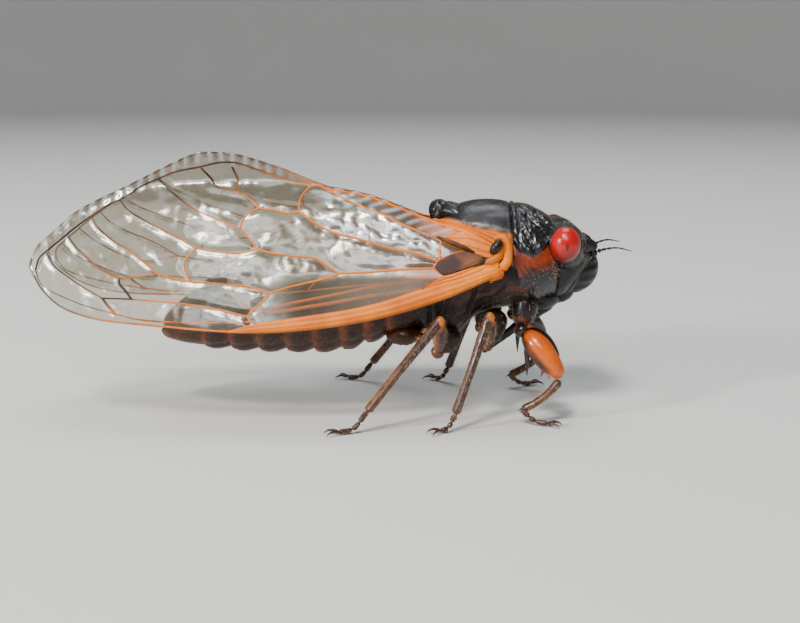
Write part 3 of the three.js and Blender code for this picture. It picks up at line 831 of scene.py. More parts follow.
def facet_tree():
    """A compound eye: hexagonal facets, each a low raised lens."""
    if "Compound eye" in bpy.data.node_groups:
        return bpy.data.node_groups["Compound eye"]
    tree, source, target = geometry_tree("Compound eye", [
        ("Subdivisions", "NodeSocketInt", 6), ("Lens Height", "NodeSocketFloat", 0.006),
        ("Lens Size", "NodeSocketFloat", 0.8), ("Radii", "NodeSocketVector", (1, 1, 1)),
        ("Material", "NodeSocketMaterial", None)])
    globe = tree.nodes.new("GeometryNodeMeshIcoSphere")
    globe.inputs["Radius"].default_value = 1.0
    tree.links.new(source.outputs["Subdivisions"], globe.inputs["Subdivisions"])
    cells = tree.nodes.new("GeometryNodeDualMesh")
    tree.links.new(globe.outputs["Mesh"], cells.inputs[0])
    lens = tree.nodes.new("GeometryNodeExtrudeMesh")
    lens.mode = "FACES"
    tree.links.new(cells.outputs[0], lens.inputs["Mesh"])
    tree.links.new(source.outputs["Lens Height"], lens.inputs["Offset Scale"])
    lens.inputs["Individual"].default_value = True
    shrink = tree.nodes.new("GeometryNodeScaleElements")
    tree.links.new(lens.outputs["Mesh"], shrink.inputs["Geometry"])
    tree.links.new(lens.outputs["Top"], shrink.inputs["Selection"])
    tree.links.new(source.outputs["Lens Size"], shrink.inputs["Scale"])
    smooth = tree.nodes.new("GeometryNodeSetShadeSmooth")
    tree.links.new(shrink.outputs[0], smooth.inputs["Geometry"])
    size = tree.nodes.new("GeometryNodeTransform")
    tree.links.new(smooth.outputs[0], size.inputs["Geometry"])
    tree.links.new(source.outputs["Radii"], size.inputs["Scale"])
    close_tree(tree, source, target, size.outputs[0])
    return tree


def eye_material():
    """Glossy red, darker towards the lower rim, with a small dark spot facing sideways."""
    if "Red eye" in bpy.data.materials:
        return bpy.data.materials["Red eye"]
    material, tree, shader, _ = new_material("Red eye")
    tone = tree.nodes.new("ShaderNodeAttribute")
    tone.attribute_name = "tone"
    place = tree.nodes.new("ShaderNodeTexCoord")
    glow = noise_node(tree, place.outputs["Object"], 1500.0, 2)
    colour = mix_colour(tree, math_node(tree, "MULTIPLY", glow, 0.5),
                        (*settings().eye_colour, 1), (0.56, 0.004, 0.001, 1))
    # The tone turns the red near-black: painted shade low on the eye and the painted pseudopupil
    colour = mix_colour(tree, tone.outputs["Fac"], colour, (0.05, 0.001, 0.002, 1))
    tree.links.new(colour, shader.inputs["Base Color"])
    gloss = math_node(tree, "MULTIPLY_ADD", glow, 0.08, 0.3)
    tree.links.new(gloss, shader.inputs["Roughness"])
    shader.inputs["Specular IOR Level"].default_value = 0.2
    shader.inputs["Coat Weight"].default_value = 0.8
    shader.inputs["Coat Roughness"].default_value = 0.03
    return material


def make_eyes():
    for side, sign in SIDES:
        holder = bpy.data.objects.new("eye_holder", bpy.data.meshes.new("eye_holder"))
        bpy.context.collection.objects.link(holder)
        made = run_tree(holder, facet_tree(), {
            "Subdivisions": 6, "Lens Height": 0.0005, "Lens Size": 0.9,
            "Radii": tuple(r * MM for r in EYE_RADII), "Material": eye_material()}, f"compound_eye_{side}")
        x, y, z = EYE_CENTRE
        centre = Vector(((x + CENTRE_X) * MM, -sign * y * MM, z * MM))
        count = len(made.data.vertices)
        points = np.empty(count * 3)
        made.data.vertices.foreach_get("co", points)
        unit = points.reshape(-1, 3) / (np.array(EYE_RADII) * MM)
        # Painted shade over the lower part of the eye; the eye is also darker on its inner side against the
        # head
        tone = 0.75 * smoothstep(0.15, -0.95, unit[:, 2]) + 0.5 * smoothstep(0.25, -0.2, -sign * unit[:, 1])
        # A painted pseudopupil: the dark spot an eye shows only where it faces the viewer, fixed here on the
        # outer side
        spot = np.linalg.norm((unit - (-0.02, -sign * 0.99, -0.05)) * (1, 1, 0.6), axis=1)
        tone = np.clip(np.maximum(tone, 0.95 * (1 - smoothstep(0.07, 0.16, spot))), 0, 1)
        write_value(made.data, "tone", tone)
        made.data.vertices.foreach_set("co", (points.reshape(-1, 3) + centre).ravel())
        finish_piece(made, eye_material(), [f"eye_{side}"])
    for name, centre in SIMPLE_EYES.items():
        bead = ball(centre, (SIMPLE_EYE_RADIUS,) * 3, 20, 28, tone=0.35)
        add_patch(f"simple_eye_{name}", bead, eye_material(), [f"ocellus_{name}"])


# Wings: a place on a wing is u behind its hinge and v above it, both in millimetres

FOREWING_LOW = profile((0, -0.9), (4, -2.7), (9.1, -4.2), (16, -5.05), (23.6, -4.7), (28.2, -4.3),
                       (30.6, -3.5), (32.1, -2.25), (33, -0.8))
FOREWING_TOP = profile((0, 1.1), (2.8, 2.65), (8.8, 5.0), (12.6, 5.8), (15.6, 7.0), (18.75, 8.0),
                       (20.3, 8.15), (21.6, 7.9), (25.6, 5.9), (29.5, 3.85), (31.6, 1.9), (32.6, 0.9),
                       (33, -0.2))
HINDWING_LOW = profile((3.4, -1.5), (8, -2.1), (13, -3.0), (16, -3.4), (17.8, -2.9), (18.8, -1.6))
HINDWING_TOP = profile((3.4, 0.1), (6, 1.6), (9, 2.7), (12, 3.1), (15, 2.6), (17.6, 1.0), (18.8, -0.8))
SPREAD = profile((0, 4.4), (4, 4.3), (12, 3.95), (21, 3.95), (27, 3.1), (33, 2.2))

# How deep the middle of each sheet lies under the outer face of the folded wing
FOREWING_INSET = 0.25
HINDWING_INSET = HINDWING["inset"] + 0.4


def wing_place(u, v):
    """The outer face of the folded right wing, in millimetres."""
    u, v = np.broadcast_arrays(np.asarray(u, float), np.asarray(v, float))
    lean = 0.45 + 0.05 * np.exp(-(((u - 12) / 5) ** 2))
    furrow = FURROW["offset"] + FURROW["slope"] * u
    fold = np.where(u < FURROW["end"], np.maximum(v - furrow, 0), 0)
    flat = v - fold
    bend = smoothstep(FURROW["from"], FURROW["full"], u)
    inward = lean + (FURROW["inward"] - lean) * bend
    rise = ROOF_RISE + (FURROW["rise"] - ROOF_RISE) * bend
    curl = CREST["curl"] * np.maximum(flat - CREST["from"], 0) ** 2
    reach = SPREAD(u) - lean * flat - inward * fold
    room = reach - curl - CREST["apart"]
    out = CREST["apart"] + (room + np.hypot(room, CREST["soft"])) / 2
    up = HINGE[2] + ROOF_RISE * flat + rise * fold - CREST["sink"] * (reach - out)
    return np.stack([HINGE[0] - u, -out, up], -1)


def wing_frame(u, v, inset=0.0):
    """Place, outward normal and upward direction on the wing, with the surface moved inwards by inset."""
    step = 0.05
    along = wing_place(np.add(u, step), v) - wing_place(np.subtract(u, step), v)
    across = wing_place(u, np.add(v, step)) - wing_place(u, np.subtract(v, step))
    normal = np.cross(across, along)
    normal /= np.linalg.norm(normal, axis=-1, keepdims=True)
    normal = np.where(normal[..., 1:2] > 0, -normal, normal)
    across /= np.linalg.norm(across, axis=-1, keepdims=True)
    return wing_place(u, v) - normal * inset, normal, across


def photo_pixel(point):
    """Where the photo shows a point given in millimetres."""
    sine, cosine = math.sin(VIEW["elevation"]), math.cos(VIEW["elevation"])
    away = VIEW["distance"] / MM
    offset = point - np.array((0, -away * cosine, VIEW["height"] / MM + away * sine))
    scale = PHOTO_SIZE[0] * VIEW["lens"] / FILM_WIDTH / (offset @ (0, cosine, -sine))
    across, up = offset[0] * scale, (offset @ (0, sine, cosine)) * scale
    return np.array((PHOTO_SIZE[0] / 2 + across, PHOTO_SIZE[1] / 2 - up))


def wing_at(pixel):
    """The place (u, v) on the near forewing at a pixel of the photo, to a tenth of a millimetre."""
    step = 0.001
    place = np.subtract(HINGE_PIXEL, pixel) / PIXELS_PER_MM
    for _ in range(12):
        seen = photo_pixel(wing_place(*place))
        slopes = [(photo_pixel(wing_place(*(place + move))) - seen) / step
                  for move in ((step, 0), (0, step))]
        place = place - np.linalg.solve(np.transpose(slopes), seen - pixel)
    return tuple(np.round(place, 1).tolist())


# Pixels of the photo where forewing veins meet
JUNCTION_PIXELS = {
    "arculus": (434, 268), "cubital root": (439, 261), "first fork": (339, 272.5),
    "upper fork": (257, 248.4), "lower fork": (271, 291.2), "cross one": (189.3, 279.7),
    "cross two": (155.2, 273.3), "nodal foot": (248, 316.7), "dark cross": (129.7, 298.2),
    "apex fork": (101.6, 296.9), "dark fork": (117.5, 276.5), "third fork": (195.7, 247.8),
    "fourth fork": (239.7, 228.6), "fifth fork": (259.5, 205.7), "anal turn": (299, 209.5),
    "sixth fork": (238.4, 190.4),
}
JUNCTIONS = {name: wing_at(pixel) for name, pixel in JUNCTION_PIXELS.items()}

# Places chosen on the wing itself, as (u, v)
JUNCTIONS.update({
    "nodal end": (17.0, -4.3), "middle end": (28.7, 3.2), "dark start": (25.2, -1.2),
    "lower end": (30.4, 1.8), "upper start": (17.8, 0.7), "upper end": (26.7, 4.5), "anal end": (12.6, 5.7),
    "dark bend": (26.35, -1.7), "dark foot": (25.9, -2.2),
})


def vein_on_wing(*run):
    """A vein as (u, v) places, from a run of junction names and pixels of the photo."""
    return tuple(JUNCTIONS[stop] if isinstance(stop, str) else wing_at(stop) for stop in run)


FOREWING_VEINS = (
    vein_on_wing("arculus", (403.3, 269), (368.9, 271.4), "first fork"),
    vein_on_wing("first fork", (328.7, 265.6), (313, 257.3), (299, 255.4), (274.8, 252.2), "upper fork"),
    vein_on_wing("first fork", (323, 278.2), (300, 284), (287.6, 286.7), "lower fork"),
    vein_on_wing("lower fork", (249.3, 286), (223.8, 283.5), "cross one", (172.8, 277.8), "cross two"),
    vein_on_wing("lower fork", (259.5, 303.3), "nodal foot", "nodal end"),
    vein_on_wing("nodal foot", (217.4, 308.4), (191.9, 304.5), (160, 301.4), "dark cross", "apex fork"),
    vein_on_wing("apex fork", (83.8, 286.7), (70, 279), (51.9, 263.7), (45.5, 252.2)),
    vein_on_wing("cross two", (145, 262.4), (129.7, 249.7), (114.4, 240.8), (96.5, 225.5), "middle end"),
    vein_on_wing("cross two", "dark start", "dark fork", (96.5, 265), (83.8, 256), (74.8, 247.1), "lower end"),
    vein_on_wing("cross one", (184.2, 270.1), (183.6, 262.4), (188, 254.8), "third fork"),
    vein_on_wing("upper fork", "upper start", (223.8, 251), "third fork", (185.5, 242), (172.8, 235),
                 (155.2, 225.5), (138.6, 216.5), (127, 207.6), "upper end"),
    vein_on_wing("upper fork", (249.3, 238.2), "fourth fork", (223.8, 221.6), (211, 215.3),
                 (191.9, 206.3), (176.6, 194.8), (165, 184.6), (158, 180)),
    vein_on_wing("fourth fork", (242.9, 219), (248, 211.4), "fifth fork"),
    vein_on_wing("fifth fork", (274.8, 209.5), (287.6, 211.4), "anal turn"),
    vein_on_wing("fifth fork", (249.3, 197.4), "sixth fork", (217.4, 184.6), (208.5, 177), (200.8, 168.7)),
    vein_on_wing("sixth fork", (236.5, 179.5), (231.4, 167.4)),
    vein_on_wing("anal turn", (300.3, 200), (304, 191), (310.5, 185.3), "anal end"),
    vein_on_wing("anal turn", (313.8, 220.8), (334.4, 231.2), (357.4, 238), (391.8, 247.2), (414.8, 251.8),
                 "cubital root"),
)
DARK_VEINS = (
    vein_on_wing("apex fork", (106.7, 304.5), (114.4, 312.8)),
    vein_on_wing("dark fork", "dark bend", "dark foot", "dark cross"),
)
# Veins and folds given as (u, v) places
AMBIENT_VEIN = ((32.5, -0.9), (32.3, 0.0), (31.5, 0.8), (30.3, 1.9), (29.5, 2.6), (28.6, 3.3), (27.6, 4.1),
                (26.5, 4.7), (25.5, 5.4), (24.0, 6.1), (22.8, 6.6), (21.0, 7.0), (19.7, 7.3), (18.6, 7.3),
                (17.3, 6.9), (15.7, 6.3), (13.9, 5.8), (13.0, 5.7))
CLAVAL_FURROW = ((12.4, 5.7), (10.7, 4.7), (9.0, 3.9), (6.6, 2.9), (5.0, 2.2), (4.1, 1.8), (3.3, 1.4),
                 (2.2, 0.9), (1.2, 0.4))
BASAL_CELL_TOP = ((4.5, -0.4), (4.2, 0.05), (3.4, 0.5), (2.5, 0.75), (1.2, 0.5))
BASAL_CELL_LOW = ((4.5, -0.4), (3.9, -0.9), (3.0, -0.75), (2.2, -0.4), (1.1, 0.0))
HINDWING_VEINS = (
    ((3.8, -0.2), (6.5, 0.2), (9.0, 0.75), (12.0, 1.7), (14.0, 2.1)),
    ((3.8, -0.5), (7.0, -0.6), (11.0, -0.4), (14.0, 0.3), (16.0, 1.2)),
    ((4.0, -0.9), (8.0, -1.3), (12.0, -1.7), (15.0, -2.0), (17.5, -1.9)),
    ((11.0, -0.4), (12.5, -1.0), (13.2, -1.75)),
    ((13.2, 1.9), (13.8, 1.0), (14.0, 0.3)),
    ((14.2, 0.35), (15.6, -0.6), (17.6, -0.9)),
)


def vein_places(run, spacing=0.12):
    """Close-set places along one vein."""
    length = sum(math.dist(a, b) for a, b in zip(run[:-1], run[1:]))
    return spline(run, max(int(length / spacing), 8))


def rim_places(low, top, start, end, inset, count=160):
    """Places along the outer rim of a wing, from the low edge round the tip to the top edge."""
    share = np.sin(np.linspace(0, math.pi / 2, count))
    u = start + (end - start) * share
    lower = np.stack([u, low(u) + inset], 1)
    upper = np.stack([u, top(u) - inset], 1)[::-1]
    upper[:, 0] -= inset * smoothstep(end - 4, end, upper[:, 0])
    lower[:, 0] -= inset * smoothstep(end - 4, end, lower[:, 0])
    return np.vstack([lower, upper])


def vein_tree():
    """Round veins along curves, as thick as each curve point's radius says."""
    if "Wing veins" in bpy.data.node_groups:
        return bpy.data.node_groups["Wing veins"]
    tree, source, target = geometry_tree("Wing veins", [
        ("Width", "NodeSocketFloat", 1.0), ("Sides", "NodeSocketInt", 8),
        ("Material", "NodeSocketMaterial", None)])
    ring = tree.nodes.new("GeometryNodeCurvePrimitiveCircle")
    tree.links.new(source.outputs["Sides"], ring.inputs["Resolution"])
    tree.links.new(source.outputs["Width"], ring.inputs["Radius"])
    tube = tree.nodes.new("GeometryNodeCurveToMesh")
    tree.links.new(source.outputs["Geometry"], tube.inputs["Curve"])
    tree.links.new(ring.outputs["Curve"], tube.inputs["Profile Curve"])
    tube.inputs["Fill Caps"].default_value = True
    if "Scale" in tube.inputs:
        radius = tree.nodes.new("GeometryNodeInputRadius")
        tree.links.new(radius.outputs[0], tube.inputs["Scale"])
    smooth = tree.nodes.new("GeometryNodeSetShadeSmooth")
    tree.links.new(tube.outputs[0], smooth.inputs["Geometry"])
    close_tree(tree, source, target, smooth.outputs[0])
    return tree


def vein_curves(name, runs):
    """A curve object with one poly spline for each (points, radii), in the frame's metres."""
    data = bpy.data.curves.new(name, "CURVE")
    data.dimensions = "3D"
    for points, radii in runs:
        line = data.splines.new("POLY")
        line.points.add(len(points) - 1)
        placed = (points + (CENTRE_X, 0, 0)) * MM
        line.points.foreach_set("co", np.hstack([placed, np.ones((len(points), 1))]).ravel())
        line.points.foreach_set("radius", np.asarray(radii, float) * MM)
    holder = bpy.data.objects.new(name, data)
    bpy.context.collection.objects.link(holder)
    return holder


def forewing_runs():
    """Each vein of the right forewing as points and radii in millimetres."""
    runs = []
    def add(places, radius):
        u, v = places[:, 0], places[:, 1]
        runs.append((wing_frame(u, v, FOREWING_INSET)[0], radius(u, v) * np.ones(len(u))))
    thick = settings().vein_radius / MM
    for run in FOREWING_VEINS:
        add(vein_places(run), lambda u, v: thick * (1.25 - 0.5 * smoothstep(4, 24, u)))
    for run in DARK_VEINS:
        add(vein_places(run), lambda u, v: thick * 1.2)
    add(vein_places(AMBIENT_VEIN), lambda u, v: thick * 0.85)
    add(vein_places(CLAVAL_FURROW), lambda u, v: thick * (1.35 - 0.4 * smoothstep(3, 10, u)))
    add(vein_places(BASAL_CELL_TOP), lambda u, v: thick * 1.7)
    add(vein_places(BASAL_CELL_LOW), lambda u, v: thick * 1.9)
    add(vein_places(((4.0, 1.75), (4.1, 0.95), (4.1, 0.2))), lambda u, v: thick * 1.5)
    back = np.linspace(12.6, 0.3, 110)
    inner = np.stack([back, FOREWING_TOP(back) - 0.12], 1)
    add(inner, lambda u, v: thick * (2.0 - 0.7 * smoothstep(3, 12, u)))
    rim = rim_places(FOREWING_LOW, FOREWING_TOP, 12.6, WING_LENGTH, 0.1)
    rim = rim[(rim[:, 0] > 16.5) | (rim[:, 1] > 0)]
    add(rim, lambda u, v: thick * np.where(v < 0, 1.0, 0.5) * (1 - 0.35 * smoothstep(20, 31, u)))
    upper_line = spline(((17.0, -4.25), (21.1, -4.35), (25.0, -4.2), (26.4, -3.9), (27.8, -3.6), (29.8, -3.0),
                         (32.0, -1.9), (32.5, -0.9)), 120)
    add(upper_line, lambda u, v: thick * (1.0 - 0.4 * smoothstep(20, 31, u)))
    return runs


def wing_tone(points):
    """Veins are orange by the hinge and dark brown towards the apex and the crest."""
    u = HINGE[0] - points[:, 0]
    v = (points[:, 2] - HINGE[2]) / ROOF_RISE
    tone = smoothstep(0.38, 0.8, (u - 12) / 18 * 0.75 + np.maximum(v, 0) / 8 * 0.55)
    cloud = np.hypot((u - 26.4) / 1.6, (v + 2.6) / 1.5)
    tone = np.maximum(tone, 1 - smoothstep(0.6, 1.1, cloud))
    tone = tone * (1 - 0.55 * smoothstep(-3.4, -4.2, v) * smoothstep(31, 26, u))
    bar = np.minimum(to_segment(u, v, (0.9, 0.15), (3.2, -0.8)), to_segment(u, v, (1.4, 0.55), (4.8, 2.15)))
    return np.clip(np.maximum(tone, 1.3 * (1 - smoothstep(0.16, 0.3, bar))), 0, 1)


def vein_material():
    return cuticle("Wing vein", tuple(settings().vein_colour), (0.018, 0.006, 0.003), (0.46, 0.055, 0.002),
                   rough=(0.44, 0.56), mottle=500.0, grain=9000.0, bump=0.15, depth=0.006, coat=0.05,
                   calm=True, shine=0.25)


def costa_patch(inset):
    """The stout front rib of the forewing: a broad band with a groove, thinning out past the node."""
    u = np.concatenate([np.linspace(0.05, 4, 30), np.linspace(4.15, 18.5, 110)])
    width = profile((0, 0.55), (1.5, 0.85), (4.3, 1.3), (9, 1.12), (14, 0.98), (17, 0.62), (18.5, 0.14))(u)
    centre_v = FOREWING_LOW(u) + width / 2
    centre, normal, up = wing_frame(u, centre_v, inset)
    thick = profile((0, 0.34), (4, 0.36), (12, 0.3), (17, 0.18), (18.5, 0.06))(u)
    angle = np.linspace(0, 2 * math.pi, 28, endpoint=False)
    groove = 1 - 0.5 * bell(np.cos(angle), 0.25, 0.13) - 0.2 * bell(np.cos(angle), -0.45, 0.12)
    ring = (up[:, None] * np.cos(angle)[None, :, None] * (width / 2)[:, None, None]
            + normal[:, None] * (np.sin(angle) * groove)[None, :, None] * thick[:, None, None])
    grid = centre[:, None] + ring
    # Painted shade in the rib's two grooves and along its lower edge
    groove_shade = np.maximum(bell(np.cos(angle), 0.25, 0.1), bell(np.cos(angle), -0.45, 0.1)) * 0.4
    low = smoothstep(-0.5, -1.0, np.cos(angle)) * 0.4
    return tube_patch(grid, np.maximum(groove_shade, low)[None, :] * np.ones((len(u), 1)))


def membrane_patch(low, top, start, end, inset, veins, rows, columns, swell):
    """A thin closed sheet between two outlines, puffed a little between its veins."""
    share = np.sin(np.linspace(0, math.pi / 2, columns))
    u = (start + (end - start) * share)[:, None] * np.ones((1, rows))
    row = np.linspace(0, 1, rows)[None, :]
    v = low(u) + (top(u) - low(u)) * row
    tree = KDTree(len(veins))
    for i, (a, b) in enumerate(veins):
        tree.insert((a, b, 0), i)
    tree.balance()
    near = np.array([tree.find((a, b, 0))[2] for a, b in zip(u.ravel(), v.ravel())]).reshape(u.shape)
    flat = np.stack([u, v, 0 * u], -1)
    soft = roughness_field(flat, 1.5)
    fine = roughness_field(flat + 40, 0.55)
    open_field = smoothstep(0.0, 0.5, near)
    clavus = smoothstep(0.1, 0.4, v - (FURROW["offset"] + FURROW["slope"] * u)) * (u < FURROW["end"])
    pleat = np.sin((u * 0.75 + v * 1.9) * 4.4 + soft * 1.5)
    glitter = smoothstep(12.8, 11.5, u) * smoothstep(3.8, 4.6, u) * (1 - clavus)
    glitter = glitter * smoothstep(-0.1, 0.3, v - 0.15 * u)
    outside = np.minimum(v - low(u), top(u) - v)
    fringe = smoothstep(1.1, 0.5, outside) * smoothstep(13, 17, u) * (v > 0)
    bars = np.sin(u * 7.5 + soft * 2)
    puff = swell * open_field * (0.35 + 0.5 * soft) + 0.028 * fine * open_field
    puff = puff + 0.045 * pleat * clavus + 0.04 * fine * glitter + 0.02 * bars * fringe
    centre, normal, _ = wing_frame(u, v, inset)
    middle = centre + normal * puff[..., None]
    middle[..., 2] = np.minimum(middle[..., 2], TOP_Z)
    half = 0.012
    ring = both_faces(middle + normal * half, middle - normal * half)
    # Painted sheen: soft bluish-white patches standing in for the light's reflection on the membrane, and
    # brighter bands on the raised pleats of the clavus, the bumps of the glitter region and the bars of the
    # fringe
    patches = smoothstep(-0.1, 0.5, roughness_field(flat * (0.62, 1.1, 1) + 7, 1.0) + 0.35 * fine)
    milk = 0.32 * patches * smoothstep(5, 13, u) * open_field
    milk = np.maximum(milk, clavus * smoothstep(0.0, 0.7, pleat) * 0.75)
    milk = np.maximum(milk, glitter * smoothstep(-0.15, 0.2, fine) * 0.85)
    milk = np.maximum(milk, fringe * smoothstep(0.1, 0.6, bars) * 0.55)
    # Brown in the troughs of the clavus pleats, the dips of the glitter region and between the fringe bars is
    # painted shade; the brown towards the hinge and in the basal cell is the wing's own tint
    brown = clavus * smoothstep(0.1, 0.8, -pleat) * 0.6
    brown = np.maximum(brown, glitter * smoothstep(0.15, 0.4, -fine - soft * 0.3) * 0.8)
    brown = np.maximum(brown, fringe * smoothstep(0.3, 0.8, -bars) * 0.4)
    brown = np.maximum(brown, 0.5 * smoothstep(14, 5, u) * (v < 0.15 * u - 0.2))
    brown = np.maximum(brown, 0.5 * smoothstep(9, 4.5, u) * (1 - clavus))
    cell_top = np.interp(u, (1.1, 1.2, 2.5, 3.4, 4.2, 4.5), (0.3, 0.5, 0.75, 0.5, 0.05, -0.4))
    cell_low = np.interp(u, (1.1, 2.2, 3.0, 3.9, 4.5), (0.0, -0.4, -0.75, -0.9, -0.4))
    cell = smoothstep(-0.1, 0.1, cell_top - v) * smoothstep(-0.1, 0.1, v - cell_low) * smoothstep(0.8, 1.2, u)
    closed = cell * (u < 4.5)
    brown = np.maximum(brown, closed)
    root = smoothstep(2.6, 1.2, u) * (1 - cell)
    root = np.maximum(root, 0.7 * smoothstep(8, 5.5, u) * smoothstep(0.5, 0.2, np.abs(v + 0.85)) * (1 - cell))
    root = np.maximum(root, smoothstep(6.2, 4.6, u) * clavus * 0.7)
    under = smoothstep(-0.7, -1.3, v + 0.1 * np.maximum(u - 11, 0)) * smoothstep(17, 13, u)
    dull = np.clip(np.maximum(np.maximum(0.85 * under, closed), 0.6 * root), 0, 1)
    milk = milk * (1 - under)
    both = {key: both_faces(value, value)
            for key, value in (("tone", root), ("milk", milk), ("brown", brown), ("dull", dull))}
    return tube_patch(ring, **both)


def attribute_value(tree, name):
    node = tree.nodes.new("ShaderNodeAttribute")
    node.attribute_name = name
    return node.outputs["Fac"]


def membrane_material():
    """Clear, faintly amber sheet: mostly see-through, with milky and brown patches and its own gloss."""
    if "Wing membrane" in bpy.data.materials:
        return bpy.data.materials["Wing membrane"]
    material, tree, shader, output = new_material("Wing membrane")
    vector = tree.nodes.new("ShaderNodeTexCoord").outputs["Object"]
    wide = noise_node(tree, vector, 420.0, 2)
    fine = noise_node(tree, vector, 2600.0, 3)
    root, milk, brown, dull = (attribute_value(tree, name) for name in ("tone", "milk", "brown", "dull"))
    colour = mix_colour(tree, wide, (*settings().membrane_colour, 1), (0.20, 0.18, 0.13, 1))
    # Brown: the wing's own amber tint near the hinge, and painted shade in the troughs of the relief
    colour = mix_colour(tree, brown, colour, (0.16, 0.028, 0.006, 1))
    # Painted sheen turns the sheet bluish white
    colour = mix_colour(tree, milk, colour, (0.72, 0.80, 0.88, 1))
    hinge = mix_colour(tree, fine, (*settings().vein_colour, 1), (0.42, 0.04, 0.002, 1))
    colour = mix_colour(tree, root, colour, hinge)
    tree.links.new(colour, shader.inputs["Base Color"])
    satin = math_node(tree, "MULTIPLY_ADD", fine, 0.1, 0.12)
    tree.links.new(math_node(tree, "MULTIPLY_ADD", dull, 0.8, satin), shader.inputs["Roughness"])
    relief = tree.nodes.new("ShaderNodeBump")
    relief.inputs["Strength"].default_value = 0.6
    relief.inputs["Distance"].default_value = 0.018 * MM
    height = math_node(tree, "ADD", math_node(tree, "MULTIPLY", wide, 1.6), fine)
    tree.links.new(height, relief.inputs["Height"])
    tree.links.new(relief.outputs[0], shader.inputs["Normal"])
    shader.inputs["IOR"].default_value = 2.6
    clear = tree.nodes.new("ShaderNodeBsdfTransparent")
    clear.inputs["Color"].default_value = (0.93, 0.91, 0.86, 1)
    weight = tree.nodes.new("ShaderNodeLayerWeight")
    weight.inputs["Blend"].default_value = 0.3
    tree.links.new(relief.outputs[0], weight.inputs["Normal"])
    body = math_node(tree, "MULTIPLY_ADD", weight.outputs["Fresnel"], 0.6, settings().membrane_body)
    body = math_node(tree, "MULTIPLY", body, math_node(tree, "MULTIPLY_ADD", dull, -0.7, 1.0))
    # Painted sheen also makes the sheet less see-through, so that it shows
    body = math_node(tree, "ADD", body, math_node(tree, "MULTIPLY", milk, 0.4))
    body = math_node(tree, "ADD", body, math_node(tree, "MULTIPLY", brown, 0.62))
    solid = math_node(tree, "MAXIMUM", body, math_node(tree, "MULTIPLY", root, 0.96))
    clamp = tree.nodes.new("ShaderNodeClamp")
    tree.links.new(solid, clamp.inputs["Value"])
    blend = tree.nodes.new("ShaderNodeMixShader")
    tree.links.new(clamp.outputs[0], blend.inputs[0])
    tree.links.new(clear.outputs[0], blend.inputs[1])
    tree.links.new(shader.outputs[0], blend.inputs[2])
    tree.links.new(blend.outputs[0], output.inputs["Surface"])
    return material


def make_wings():
    vein_uv = [tuple(p) for run in FOREWING_VEINS + DARK_VEINS + (AMBIENT_VEIN, CLAVAL_FURROW)
               for p in vein_places(run, 0.2)]
    rim = [tuple(p) for p in rim_places(FOREWING_LOW, FOREWING_TOP, 0, WING_LENGTH, 0.0, 120)]
    fore = membrane_patch(FOREWING_LOW, FOREWING_TOP, 0, WING_LENGTH, FOREWING_INSET, vein_uv + rim,
                          90, 330, 0.16)
    hind_uv = [tuple(p) for run in HINDWING_VEINS for p in spline(run, 30)]
    hind = membrane_patch(HINDWING_LOW, HINDWING_TOP, HINDWING["start"], HINDWING["end"],
                          HINDWING_INSET, hind_uv, 40, 150, 0.1)
    hind["tone"] = hind["tone"] * 0.35
    for side, sign in SIDES:
        add_patch(f"forewing_membrane_{side}", mirrored(fore, sign), membrane_material(),
                  [f"forewing_{side}"])
        add_patch(f"hindwing_membrane_{side}", mirrored(hind, sign), membrane_material(),
                  [f"hindwing_{side}"])
        add_patch(f"forewing_rib_{side}", mirrored(costa_patch(0.22), sign), vein_material())
        add_veins(f"forewing_veins_{side}", forewing_runs(), sign)
        add_veins(f"hindwing_veins_{side}", hindwing_runs(), sign)
        shoulder = limb([(6.2, -4.3, 12.05), (6.55, -4.32, 12.5), (6.9, -4.2, 12.95)], [0.16, 0.34, 0.18],
                        26, 24)
        add_patch(f"shoulder_knob_{side}", mirrored(shoulder, sign), shell_black())
        add_patch(f"wing_root_{side}", mirrored(wing_root(), sign), vein_material())


def wing_plate(lower, upper, inset, tone, ridges=0.03, samples=60, rows=16):
    """A thin closed plate on the wing between two runs of (u, v) places."""
    a, b = (spline(run, samples)[:, None] for run in (lower, upper))
    across = np.linspace(0, 1, rows)[None, :, None]
    place = a * (1 - across) + b * across
    u, v = place[..., 0], place[..., 1]
    centre, normal, _ = wing_frame(u, v, inset)
    fold = ridges * np.sin(across[..., 0] * 14 + u * 1.2)
    fold = fold + ridges * roughness_field(np.stack([u, v, 0 * u], -1), 0.5)
    outer = centre + normal * (fold + 0.05)[..., None]
    inner = centre - normal * 0.03
    ring = both_faces(outer, inner)
    # The plate's tone: its own colour, and on the ridged plates painted shade beside the folds
    shade = tone(u, v, across[..., 0])
    return tube_patch(ring, both_faces(shade, shade))


